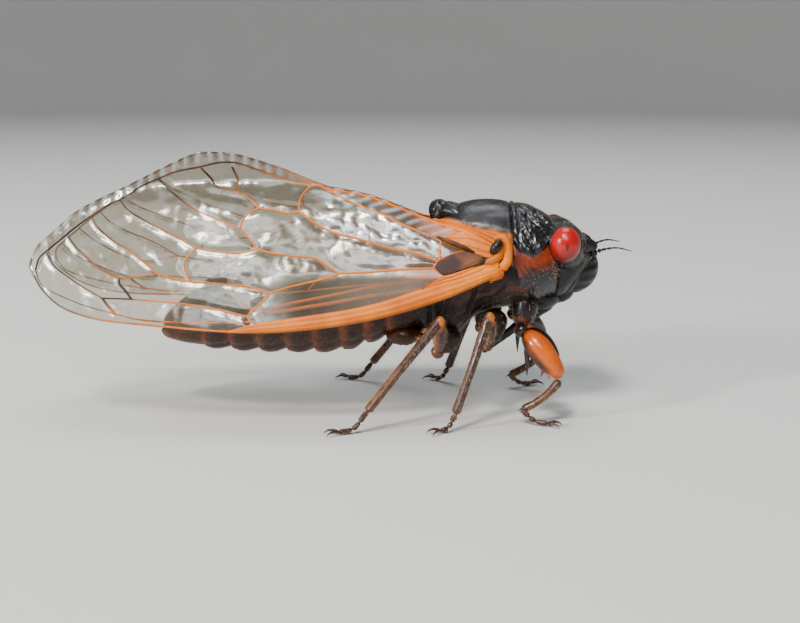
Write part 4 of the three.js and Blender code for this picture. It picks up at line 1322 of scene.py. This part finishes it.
def root_plates():
    """The stiff places of the forewing by the hinge: a dark cell with orange above and below it."""
    costa_top = ((0.1, -0.35), (1.5, -0.9), (3.0, -1.35), (4.3, -1.65), (5.4, -2.0))
    cell_low = ((0.1, 0.1), (1.1, 0.0), (2.2, -0.4), (3.0, -0.75), (3.9, -1.05), (5.4, -1.92))
    clavus_low = ((0.1, 0.25), (1.2, 0.4), (2.2, 0.9), (3.0, 1.27), (3.9, 1.7))
    clavus_top = ((0.1, 1.0), (1.0, 1.6), (2.0, 2.05), (3.0, 2.1), (3.9, 1.78))
    def cell_tone(u, v, across):
        return 0.93 + 0.03 * np.sin(u * 2 + across * 3)
    # Dark bands along one flank of each ridge: painted shade on the folds
    def fold_shade_tone(u, v, across):
        return 0.45 * smoothstep(0.3, 1.0, np.sin(across * 14 + u * 1.2 + 2.0))
    def bar(run, radii, inset):
        places = spline(run, 24)
        line = wing_frame(places[:, 0], places[:, 1], inset)[0]
        return limb([tuple(p) for p in line[::3]] + [tuple(line[-1])], radii, 40, 16, tone=1.0)
    shoulder = wing_frame(0.55, -0.75, FOREWING_INSET)[0]
    return join(
        wing_plate(BASAL_CELL_LOW, BASAL_CELL_TOP, 0.05, cell_tone, 0.0),
        wing_plate(costa_top, cell_low, 0.04, fold_shade_tone),
        wing_plate(clavus_low, clavus_top, 0.1, fold_shade_tone, 0.04),
        bar(((3.1, -0.72), (2.2, -0.36), (1.1, 0.05), (0.5, 0.3)), [0.07, 0.14, 0.21, 0.12], 0.02),
        bar(((4.3, 1.9), (3.3, 1.42), (2.2, 0.93), (1.7, 0.68)), [0.06, 0.17, 0.17, 0.06], 0.04),
        ball(tuple(shoulder), (0.85, 0.36, 0.52), 24, 30, tone=0.1),
    )


def wing_root():
    """The folded sheet between shield and wing, an arch over the hinge and the small plates in it."""
    rows, columns = 26, 90
    share = np.linspace(0, 1, columns)[:, None]
    across = np.linspace(0, 1, rows)[None, :]
    x = 7.35 - 4.0 * share
    turn = np.radians(SHIELD_EDGE(x) + 1)
    middle = THORAX["middle"](x)
    upper = np.stack([x, -np.sin(turn) * THORAX["half"](x),
                      middle + np.cos(turn) * (THORAX["back"](x) - middle) - 0.1], -1)
    u = 0.05 + 4.9 * share
    lower = wing_frame(u, FOREWING_TOP(u) - 0.15, FOREWING_INSET)[0]
    sheet = upper * (1 - across[..., None]) + lower * across[..., None]
    outward = np.array((0.0, -0.75, 0.66))
    pleats = np.sin(across * 19 + share * 3.0)
    ridge = 0.1 * np.sin(across * math.pi) + 0.075 * pleats * smoothstep(0, 0.12, share)
    sheet = sheet + outward * ridge[..., None]
    plate = both_faces(sheet + outward * 0.05, sheet - outward * 0.07)
    # Painted shade in the troughs of the pleats
    dark = 0.62 * smoothstep(0.1, 0.9, -np.sin(across * 19 + share * 3.0)) + 0 * share
    folded = tube_patch(plate, both_faces(dark, dark))
    arch = limb([(6.45, -3.6, 13.0), (7.15, -3.75, 13.1), (7.42, -4.05, 12.35), (7.35, -4.2, 11.5),
                 (6.9, -4.4, 10.95)], [0.16, 0.24, 0.27, 0.3, 0.34], 40, 22, flat=1.1,
                tone=lambda s, a: 0.12 + 0.1 * np.cos(a * 3))
    hollow = limb([(7.0, -3.9, 12.5), (6.75, -4.1, 11.9), (6.3, -4.3, 11.55), (5.6, -4.35, 11.5)],
                  [0.34, 0.36, 0.32, 0.12], 30, 20, tone=0.45)
    strap = limb([(7.0, -4.0, 11.3), (6.7, -4.1, 10.6), (6.2, -4.05, 10.0)], [0.3, 0.24, 0.1], 20, 18,
                 tone=0.35)
    return join(folded, arch, hollow, strap, root_plates())


def hindwing_runs():
    """Each vein of the right hindwing as points and radii in millimetres."""
    thick = settings().vein_radius / MM
    runs = []
    def add(places, radius):
        centre, _, _ = wing_frame(places[:, 0], places[:, 1], HINDWING_INSET)
        runs.append((centre, radius * np.ones(len(places))))
    for run in HINDWING_VEINS:
        add(spline(run, 60), thick * 0.75)
    rim = rim_places(HINDWING_LOW, HINDWING_TOP, HINDWING["start"], HINDWING["end"], 0.05)
    add(rim, np.where(rim[:, 1] < HINDWING_LOW(rim[:, 0]) + 0.3, thick * 1.8, thick * 0.5))
    second = ((4.6, -0.95), (6.6, -1.2), (9.0, -1.6), (11.3, -2.1), (13.7, -2.6), (15.5, -3.0))
    add(spline(second, 70), thick * 1.6)
    return runs


def add_veins(name, runs, sign):
    """Makes one wing's veins with geometry nodes and tones them from hinge to apex."""
    ceiling = (np.inf, np.inf, TOP_Z - 0.06)
    turned = [(np.minimum(points * (1, sign, 1), ceiling), radii) for points, radii in runs]
    made = run_tree(vein_curves(name + "_lines", turned), vein_tree(),
                    {"Width": 1.0, "Sides": 8, "Material": vein_material()}, name)
    points = np.empty(len(made.data.vertices) * 3)
    made.data.vertices.foreach_get("co", points)
    local = points.reshape(-1, 3) / MM - (CENTRE_X, 0, 0)
    write_value(made.data, "tone", wing_tone(local))
    turn_outwards(made.data)
    finish_piece(made, vein_material())


# Legs of the right side, from the hip down

LEGS = {
    "fore": {"hip": (8.75, -2.0, 8.3), "trochanter": (8.5, -2.75, 6.6), "knee": (11.35, -4.4, 3.35),
             "ankle": (8.55, -4.7, 1.05), "toe": (10.3, -5.3, 0.22)},
    "mid": {"hip": (6.75, -2.3, 7.2), "trochanter": (6.15, -2.85, 5.3), "knee": (6.1, -5.2, 7.8),
            "ankle": (3.8, -6.3, 1.2), "toe": (2.8, -6.9, 0.22)},
    "hind": {"hip": (3.5, -2.3, 5.9), "trochanter": (2.7, -2.75, 4.75), "knee": (2.7, -5.4, 7.55),
             "ankle": (-2.25, -6.6, 1.5), "toe": (-4.2, -7.2, 0.22)},
}


def along(a, b, share):
    return tuple(np.asarray(a) + (np.asarray(b) - np.asarray(a)) * share)


def spine(root, direction, length, radius, tone=0.0):
    """A short pointed spine."""
    way = np.asarray(direction, float) / np.linalg.norm(direction)
    points = [tuple(np.asarray(root) + way * length * s) for s in (0.0, 0.5, 1.0)]
    return limb(points, [radius, radius * 0.6, radius * 0.08], 10, 10, tone=tone, reference=(0.3, 0.9, 0.2))


def ribbed(depth, count):
    """Low lengthwise ribs round a limb."""
    return lambda share, angle: depth * np.cos(angle * count) * smoothstep(0.0, 0.15, share)


def fore_leg(leg):
    coxa = limb([(8.85, -1.9, 9.0), (8.85, -2.35, 7.9), leg["trochanter"]], [1.0, 1.05, 0.66], 30, 28,
                flat=0.85, relief=ribbed(0.03, 3), hair=0.35, tone=lambda s, a: bell(s, 0.84, 0.05) + 0 * a)
    ring = limb([(8.45, -2.7, 6.75), (8.6, -2.9, 6.35), (8.9, -3.05, 6.05)], [0.42, 0.55, 0.5], 18, 22,
                tone=0.97)
    thigh_axis = [(8.75, -2.95, 6.3), (9.75, -3.5, 5.25), (10.6, -4.0, 4.15), leg["knee"]]
    def thigh_tone(share, angle):
        # A dark stripe over the top and a dark root
        top = smoothstep(0.55, 0.92, -np.cos(angle - math.pi * 0.15))
        stripe = 0.9 * top * (1 - smoothstep(0.75, 0.9, share))
        return np.clip(stripe + 0.8 * (1 - smoothstep(0.04, 0.12, share)), 0, 1)
    thigh = limb(thigh_axis, [0.46, 0.98, 0.9, 0.46], 50, 36, flat=0.92, tone=thigh_tone,
                 hair=lambda s, a: 1.6 * smoothstep(0.7, 0.95, s) + 0.1)
    # A near-black piece along the top of the thigh stands in for the shaded shape above it: painted shade
    shade = limb([(8.95, -2.75, 6.35), (9.95, -3.1, 5.75), (10.75, -3.65, 4.85), (11.1, -4.0, 4.1)],
                 [0.35, 0.62, 0.5, 0.2], 30, 22, tone=1.0)
    spines = [spine((8.95, -3.3, 5.3), (0.02, -0.08, -1.0), 2.15, 0.27, 1.0),
              spine((10.15, -3.95, 3.95), (-0.35, -0.05, -1.0), 0.75, 0.16, 1.0),
              spine((10.6, -4.1, 3.55), (-0.5, -0.05, -1.0), 0.45, 0.12, 1.0)]
    femur = join(ring, thigh, shade, *spines)
    shin_axis = [(11.2, -4.4, 3.1), (10.5, -4.5, 2.3), (9.5, -4.65, 1.55), leg["ankle"]]
    shin = limb(shin_axis, [0.34, 0.27, 0.26, 0.3], 40, 20, relief=ribbed(0.02, 4), hair=0.8,
                tone=lambda s, a: 0.12 * bell(s, 0.5, 0.35) + 0 * a)
    tips = [spine((8.6, -4.65, 1.15), (-0.8, 0.2, -0.5), 0.45, 0.09),
            spine((8.6, -4.8, 1.1), (-0.6, -0.4, -0.6), 0.4, 0.08)]
    return coxa, femur, join(shin, *tips)


def rear_leg(name, leg):
    hip, trochanter, knee, ankle = (leg[key] for key in ("hip", "trochanter", "knee", "ankle"))
    coxa = limb([tuple(np.asarray(hip) + (0.1, 0.3, 0.5)), hip, along(hip, trochanter, 0.55), trochanter],
                [0.7, 0.95, 0.85, 0.5], 30, 26, relief=ribbed(0.03, 3), hair=0.35, tone=0.1)
    ring = limb([along(trochanter, hip, 0.25), trochanter, along(trochanter, knee, 0.14)],
                [0.4, 0.5, 0.42], 16, 20, tone=0.2)
    bow = tuple(np.asarray(along(trochanter, knee, 0.5)) + (0.12, -0.1, -0.1))
    def thigh_tone(share, angle):
        side = 0.22 + 0.25 * np.cos(angle * 2 + 0.8)
        return np.clip(0.8 * smoothstep(0.8, 0.93, share) + side, 0, 1)
    thigh = limb([along(trochanter, knee, 0.08), bow, along(trochanter, knee, 0.97)], [0.4, 0.52, 0.42],
                 40, 24, flat=0.85, relief=ribbed(0.02, 4), tone=thigh_tone, hair=0.7)
    cap = ball(along(trochanter, knee, 0.985), (0.41, 0.38, 0.4), 20, 24,
               tone=lambda unit: smoothstep(-0.5, 0.2, unit[..., 0]) * 0.95)
    mid_shin = tuple(np.asarray(along(knee, ankle, 0.5)) + (0.05, -0.12, 0.12))
    hind = name == "hind"
    def shin_tone(share, angle):
        pale = (0.16 if hind else 0.02) * smoothstep(0.3, 0.7, share)
        return np.clip(0.15 * bell(share, 0.0, 0.05) + 0.08 * np.cos(angle * 2) + pale, 0, 1)
    def shin_hair(share, angle):
        rows = smoothstep(0.3, 0.8, np.cos(angle * 4 + 0.6))
        return 1.3 * rows * smoothstep(0.05, 0.15, share) + 0.15
    shin = limb([knee, along(knee, ankle, 0.2), mid_shin, ankle], [0.36, 0.3, 0.27, 0.3], 60, 24,
                relief=ribbed(0.035, 4), tone=shin_tone, hair=shin_hair)
    way = np.asarray(ankle) - np.asarray(knee)
    spur_places = [(0.97, -1), (0.98, 1)]
    if hind:
        spur_places = [(0.38, -1), (0.52, 1), (0.66, -1), (0.8, 1)] + spur_places
    spurs = []
    for share, aside in spur_places:
        lean = way / np.linalg.norm(way) * 1.2 + np.array((0.5 * aside, -0.6, -0.1))
        spurs.append(spine(along(knee, ankle, share), lean, 0.6, 0.09, 0.2))
    return coxa, join(ring, thigh, cap), join(shin, *spurs)


def foot(leg):
    """Three foot joints and two hooked claws; the sole touches the floor."""
    ankle, toe = np.asarray(leg["ankle"]), np.asarray(leg["toe"])
    sole = np.array(((ankle[0] + toe[0]) / 2, (ankle[1] + toe[1]) / 2, 0.34))
    path = spline([tuple(ankle), tuple(sole), tuple(toe)], 31)
    path[:, 2] = np.maximum(path[:, 2], 0.2)
    joints = []
    for a, b, thick in ((0, 9, 0.2), (9, 17, 0.18), (17, 30, 0.19)):
        piece = path[[a, (a + b) // 2, b]]
        joints.append(limb(piece, [thick * 0.8, thick, thick * 1.06], 16, 16, hair=1.0))
    ahead = (toe - sole) * (1, 1, 0)
    ahead /= np.linalg.norm(ahead)
    aside = np.array((-ahead[1], ahead[0], 0))
    for sign in (-1, 1):
        hook = [toe + ahead * r + aside * sign * (0.08 + 0.36 * r) + (0, 0, lift)
                for r, lift in ((0, 0.02), (0.45, 0.14), (0.8, 0.02), (0.93, -0.14))]
        joints.append(limb([tuple(p) for p in hook], [0.12, 0.1, 0.07, 0.015], 18, 12))
    made = join(*joints)
    made["points"][:, 2] = np.maximum(made["points"][:, 2], 0.0)
    return made


def make_legs():
    for name, leg in LEGS.items():
        coxa, femur, tibia = fore_leg(leg) if name == "fore" else rear_leg(name, leg)
        thigh_finish = leg_orange() if name == "fore" else leg_brown()
        parts = (
            ("hip", coxa, belly_brown(), "belly", "coxa"),
            ("thigh", femur, thigh_finish, "leg_orange", "femur"),
            ("shin", tibia, leg_brown(), "leg_brown", "tibia"),
            ("foot", foot(leg), leg_brown(), "leg_brown", "tarsus"),
        )
        for side, sign in SIDES:
            for part, patch, material, slot, node in parts:
                add_patch(f"{name}_{part}_{side}", mirrored(patch, sign), material,
                          [f"{name}_{node}_{side}"])


# Bristles

BRISTLE_POINTS = 5

# How much of the OFBake map one bristle takes up
MAP_PATCH = 0.003


def bristle_tree():
    """Bent, pointed bristles strewn over a surface where its bristle value allows."""
    if "Bristles" in bpy.data.node_groups:
        return bpy.data.node_groups["Bristles"]
    tree, source, target = geometry_tree("Bristles", [
        ("Density", "NodeSocketFloat", 1e7), ("Length", "NodeSocketFloat", 0.0003),
        ("Thickness", "NodeSocketFloat", 0.00001), ("Lie", "NodeSocketVector", (-1, 0, 0)),
        ("Flatness", "NodeSocketFloat", 0.5), ("Seed", "NodeSocketInt", 1),
        ("Material", "NodeSocketMaterial", None)])
    where = tree.nodes.new("GeometryNodeInputNamedAttribute")
    where.data_type = "FLOAT"
    where.inputs["Name"].default_value = "bristle"
    amount = math_node(tree, "MULTIPLY", where.outputs[0], source.outputs["Density"])
    strew = tree.nodes.new("GeometryNodeDistributePointsOnFaces")
    tree.links.new(source.outputs["Geometry"], strew.inputs["Mesh"])
    tree.links.new(amount, strew.inputs["Density"])
    tree.links.new(source.outputs["Seed"], strew.inputs["Seed"])
    cone = tree.nodes.new("GeometryNodeMeshCone")
    cone.inputs["Vertices"].default_value = BRISTLE_POINTS
    cone.inputs["Side Segments"].default_value = 1
    cone.inputs["Radius Top"].default_value = 0.0
    tree.links.new(source.outputs["Thickness"], cone.inputs["Radius Bottom"])
    tree.links.new(source.outputs["Length"], cone.inputs["Depth"])
    steep = tree.nodes.new("ShaderNodeVectorMath")
    steep.operation = "SCALE"
    tree.links.new(source.outputs["Lie"], steep.inputs[0])
    tree.links.new(source.outputs["Flatness"], steep.inputs["Scale"])
    way = tree.nodes.new("ShaderNodeVectorMath")
    way.operation = "ADD"
    tree.links.new(strew.outputs["Normal"], way.inputs[0])
    tree.links.new(steep.outputs[0], way.inputs[1])
    turn = tree.nodes.new("FunctionNodeAlignRotationToVector")
    turn.axis = "Z"
    tree.links.new(way.outputs[0], turn.inputs["Vector"])
    size = tree.nodes.new("FunctionNodeRandomValue")
    size.data_type = "FLOAT"
    for label, value in (("Min", 0.55), ("Max", 1.25)):
        [s for s in size.inputs if s.name == label and s.type == "VALUE"][0].default_value = value
    tree.links.new(source.outputs["Seed"], size.inputs["Seed"])
    plant = tree.nodes.new("GeometryNodeInstanceOnPoints")
    tree.links.new(strew.outputs["Points"], plant.inputs["Points"])
    tree.links.new(cone.outputs["Mesh"], plant.inputs["Instance"])
    tree.links.new(turn.outputs["Rotation"], plant.inputs["Rotation"])
    factor = [s for s in size.outputs if s.type == "VALUE"][0]
    tree.links.new(factor, plant.inputs["Scale"])
    close_tree(tree, source, target, plant.outputs[0])
    return tree


def grow_bristles(name, host, density, length, thickness, lie, flatness, seed, material):
    """Bristles on one host patch as a plain mesh, with each bristle's patch on the host's own unwrap."""
    patch = HOSTS[host]
    ground = mesh_object(name + "_ground", patch["points"], patch["faces"], bristle=patch["hair"])
    values = {"Density": density * 1e6, "Length": length * MM, "Thickness": thickness * MM, "Lie": lie,
              "Flatness": flatness, "Seed": seed, "Material": material}
    made = run_tree(ground, bristle_tree(), values, name)
    map_bristles(made.data, patch)
    return finish_piece(made, material)


def map_bristles(mesh, patch):
    """Writes the OFBake map: a small patch for each bristle at its root's place on the host."""
    each = BRISTLE_POINTS + 1
    count = len(mesh.vertices)
    points = np.empty(count * 3)
    mesh.vertices.foreach_get("co", points)
    points = points.reshape(-1, 3)
    points[:, 2] = np.maximum(points[:, 2], 0.0)
    mesh.vertices.foreach_set("co", points.ravel())
    local = points.reshape(-1, each, 3) / MM - (CENTRE_X, 0, 0)
    tree = KDTree(len(patch["points"]))
    for i, p in enumerate(patch["points"]):
        tree.insert(p, i)
    tree.balance()
    roots = local[:, 1:].mean(axis=1)
    places = np.array([patch["uv"][tree.find(root)[1]] for root in roots]).reshape(-1, 2)
    turn = np.linspace(0, 2 * math.pi, each, endpoint=False)
    offset = MAP_PATCH / 2 * np.stack([np.cos(turn), np.sin(turn)], 1)
    flat = (np.clip(places, 0.002, 0.998)[:, None] + offset[None]).reshape(-1, 2)
    layer = mesh.uv_layers.new(name="OFBake")
    corners = np.empty(len(mesh.loops), dtype=np.int32)
    mesh.loops.foreach_get("vertex_index", corners)
    layer.data.foreach_set("uv", flat[corners].ravel())


def make_bristles():
    gold = bristle_gold()
    back = (-0.9, 0.0, -0.2)
    trunk = (
        ("pronotum_fuzz", "pronotum_shield", 24, 0.34, 0.0085, back, 0.35),
        ("shield_fuzz", "mesonotum_shield", 16, 0.28, 0.008, back, 0.4),
        ("cross_fuzz", "cross_ridge", 16, 0.26, 0.008, back, 0.4),
        ("head_fuzz", "head_capsule", 11, 0.28, 0.0085, (-0.5, 0, -0.2), 0.4),
        ("face_fuzz", "face_bulge", 14, 0.22, 0.007, (0.2, 0, -0.8), 0.6),
        ("flank_fuzz", "thorax_plates", 14, 0.28, 0.008, back, 0.8),
        ("abdomen_fuzz", "abdomen_rings", 10, 0.2, 0.007, back, 1.4),
    )
    for seed, (name, host, density, length, thickness, lie, flatness) in enumerate(trunk, 11):
        grow_bristles(name, host, density, length, thickness, lie, flatness, seed, gold)
    leg_parts = (("hip", 14, 0.26), ("thigh", 16, 0.22), ("shin", 46, 0.34), ("foot", 40, 0.2))
    seed = 20
    for name in LEGS:
        for part, density, length in leg_parts:
            for side, _ in SIDES:
                host = f"{name}_{part}_{side}"
                grow_bristles(f"{host}_bristles", host, density, length, 0.0105, (-0.3, 0, -0.9), 0.6, seed,
                              gold)
                seed += 1


# Stage, lights and camera

def floor_material():
    material, tree, shader, _ = new_material("Pale studio floor")
    place = tree.nodes.new("ShaderNodeTexCoord")
    cloud = noise_node(tree, place.outputs["Object"], 6.0, 2)
    colour = mix_colour(tree, cloud, (0.60, 0.61, 0.60, 1), (0.65, 0.655, 0.645, 1))
    tree.links.new(colour, shader.inputs["Base Color"])
    shader.inputs["Roughness"].default_value = 0.85
    return material


def aim(made, target):
    made.rotation_euler = (Vector(target) - made.location).to_track_quat("-Z", "Y").to_euler()


def soft_light(name, place, target, size, power, colour):
    light = bpy.data.lights.new(name, "AREA")
    light.shape = "RECTANGLE"
    light.size, light.size_y = size
    light.energy = power
    light.color = colour
    made = bpy.data.objects.new(name, light)
    made.location = place
    bpy.context.collection.objects.link(made)
    aim(made, target)


def make_floor():
    """A round studio floor that curves up into a wall."""
    flat, curve, height, turns = 0.55, 0.3, 1.0, 64
    rings = [(0.1, 0.0), (flat, 0.0)]
    for angle in np.linspace(0.1, math.pi / 2, 12):
        rings.append((flat + curve * math.sin(angle), curve - curve * math.cos(angle)))
    rings.append((flat + curve, height))
    angles = [2 * math.pi * k / turns for k in range(turns)]
    points = [(0.0, 0.0, 0.0)] + [(r * math.cos(a), r * math.sin(a), z) for r, z in rings for a in angles]
    faces = [(0, 1 + k, 1 + (k + 1) % turns) for k in range(turns)]
    for i in range(len(rings) - 1):
        for k in range(turns):
            a, b = 1 + i * turns, 1 + (i + 1) * turns
            n = (k + 1) % turns
            faces.append((a + k, b + k, b + n, a + n))
    mesh = bpy.data.meshes.new("studio_floor")
    mesh.from_pydata(points, [], faces)
    mesh.shade_smooth()
    floor = bpy.data.objects.new("studio_floor", mesh)
    bpy.context.collection.objects.link(floor)
    floor.data.materials.append(floor_material())


def make_lights():
    middle = (0.004, 0, 0.009)
    soft_light("key", (-0.10, -0.22, 0.38), middle, (0.08, 0.08), 1.8, (1.0, 0.95, 0.88))
    soft_light("glint", (-0.3, -0.17, 0.13), middle, (0.04, 0.04), 1.3, (1.0, 0.98, 0.95))
    soft_light("wing_sheen", (-0.05, -0.32, 0.29), middle, (0.24, 0.08), 0.6, (0.93, 0.97, 1.0))
    soft_light("top", (0.02, 0.12, 0.4), middle, (0.2, 0.2), 0.8, (0.92, 0.96, 1.0))

    world = bpy.data.worlds.new("Studio")
    world.use_nodes = True
    world.node_tree.nodes["Background"].inputs["Color"].default_value = (0.80, 0.86, 0.92, 1)
    world.node_tree.nodes["Background"].inputs["Strength"].default_value = 0.18
    bpy.context.scene.world = world


def make_camera():
    camera = bpy.data.cameras.new("camera")
    camera.lens = VIEW["lens"]
    camera.sensor_width = FILM_WIDTH
    camera.clip_start = 0.002
    camera.clip_end = 10.0
    made = bpy.data.objects.new("camera", camera)
    target = Vector((CENTRE_X * MM, 0.0, VIEW["height"]))
    towards = Vector((0.0, -math.cos(VIEW["elevation"]), math.sin(VIEW["elevation"])))
    made.location = target + towards * VIEW["distance"]
    bpy.context.collection.objects.link(made)
    aim(made, target)
    bpy.context.scene.camera = made


def make_stage():
    make_floor()
    make_lights()
    make_camera()


# Settings, operators and panel

class CicadaSettings(bpy.types.PropertyGroup):
    """Sizes and colours a user would change"""
    shell_colour: bpy.props.FloatVectorProperty(
        name="Shell colour", description="Colour of the black head and back", subtype="COLOR", size=3,
        min=0, max=1, default=(0.007, 0.0075, 0.011))
    leg_colour: bpy.props.FloatVectorProperty(
        name="Leg colour", description="Colour of the swollen fore thighs", subtype="COLOR", size=3,
        min=0, max=1, default=(0.66, 0.11, 0.0))
    eye_colour: bpy.props.FloatVectorProperty(
        name="Eye colour", description="Colour of the compound eyes", subtype="COLOR", size=3,
        min=0, max=1, default=(0.36, 0.0005, 0.0005))
    vein_colour: bpy.props.FloatVectorProperty(
        name="Vein colour", description="Colour of the wing veins near the hinge", subtype="COLOR", size=3,
        min=0, max=1, default=(0.80, 0.205, 0.0))
    membrane_colour: bpy.props.FloatVectorProperty(
        name="Membrane colour", description="Tint of the clear wing sheet", subtype="COLOR", size=3,
        min=0, max=1, default=(0.26, 0.22, 0.15))
    membrane_body: bpy.props.FloatProperty(
        name="Membrane body", description="How much of the sheet is not see-through", subtype="FACTOR",
        min=0, max=1, default=0.16)
    vein_radius: bpy.props.FloatProperty(
        name="Vein radius", description="Radius of a middling wing vein", subtype="DISTANCE", unit="LENGTH",
        min=0.02 * MM, max=0.3 * MM, default=0.072 * MM, precision=6)


def piece_operator(name, label, doc, make):
    """An operator that makes one piece or group of like pieces."""
    def execute(self, context):
        make()
        return {"FINISHED"}
    return type(f"CICADA_OT_{name}", (bpy.types.Operator,), {
        "bl_idname": f"cicada.{name}", "bl_label": label, "__doc__": doc, "execute": execute})


OPERATORS = (
    piece_operator("stage", "Stage", "Make the floor, the lights and the camera", make_stage),
    piece_operator("abdomen", "Abdomen", "Make the ringed abdomen and the drum covers", make_abdomen),
    piece_operator("thorax_sides", "Thorax Sides", "Make the plates below and beside the thorax",
                   make_thorax_sides),
    piece_operator("mesonotum", "Back Shield", "Make the smooth shield and the cross ridge behind it",
                   make_mesonotum),
    piece_operator("pronotum", "Pronotum", "Make the wrinkled shield behind the head", make_pronotum),
    piece_operator("head", "Head", "Make the head, the ribbed face, the beak and the feelers", make_head),
    piece_operator("eyes", "Eyes", "Make the compound and simple eyes", make_eyes),
    piece_operator("wings", "Wings", "Make the wing membranes, veins and roots", make_wings),
    piece_operator("legs", "Legs", "Make the six legs", make_legs),
    piece_operator("bristles", "Bristles", "Grow the fine golden bristles", make_bristles),
)


class CICADA_PT_pieces(bpy.types.Panel):
    """Lists the settings and the pieces"""
    bl_label = "Cicada"
    bl_space_type = "VIEW_3D"
    bl_region_type = "UI"
    bl_category = "Cicada"

    def draw(self, context):
        for name in CicadaSettings.__annotations__:
            self.layout.prop(context.scene.cicada, name)
        for operator in OPERATORS:
            self.layout.operator(operator.bl_idname)


CLASSES = (CicadaSettings, *OPERATORS, CICADA_PT_pieces)


def register():
    for item in CLASSES:
        bpy.utils.register_class(item)
    bpy.types.Scene.cicada = bpy.props.PointerProperty(type=CicadaSettings)


def unregister():
    del bpy.types.Scene.cicada
    for item in reversed(CLASSES):
        bpy.utils.unregister_class(item)


def main():
    register()
    for operator in OPERATORS:
        group, name = operator.bl_idname.split(".")
        getattr(getattr(bpy.ops, group), name)()


if __name__ == "__main__":
    main()
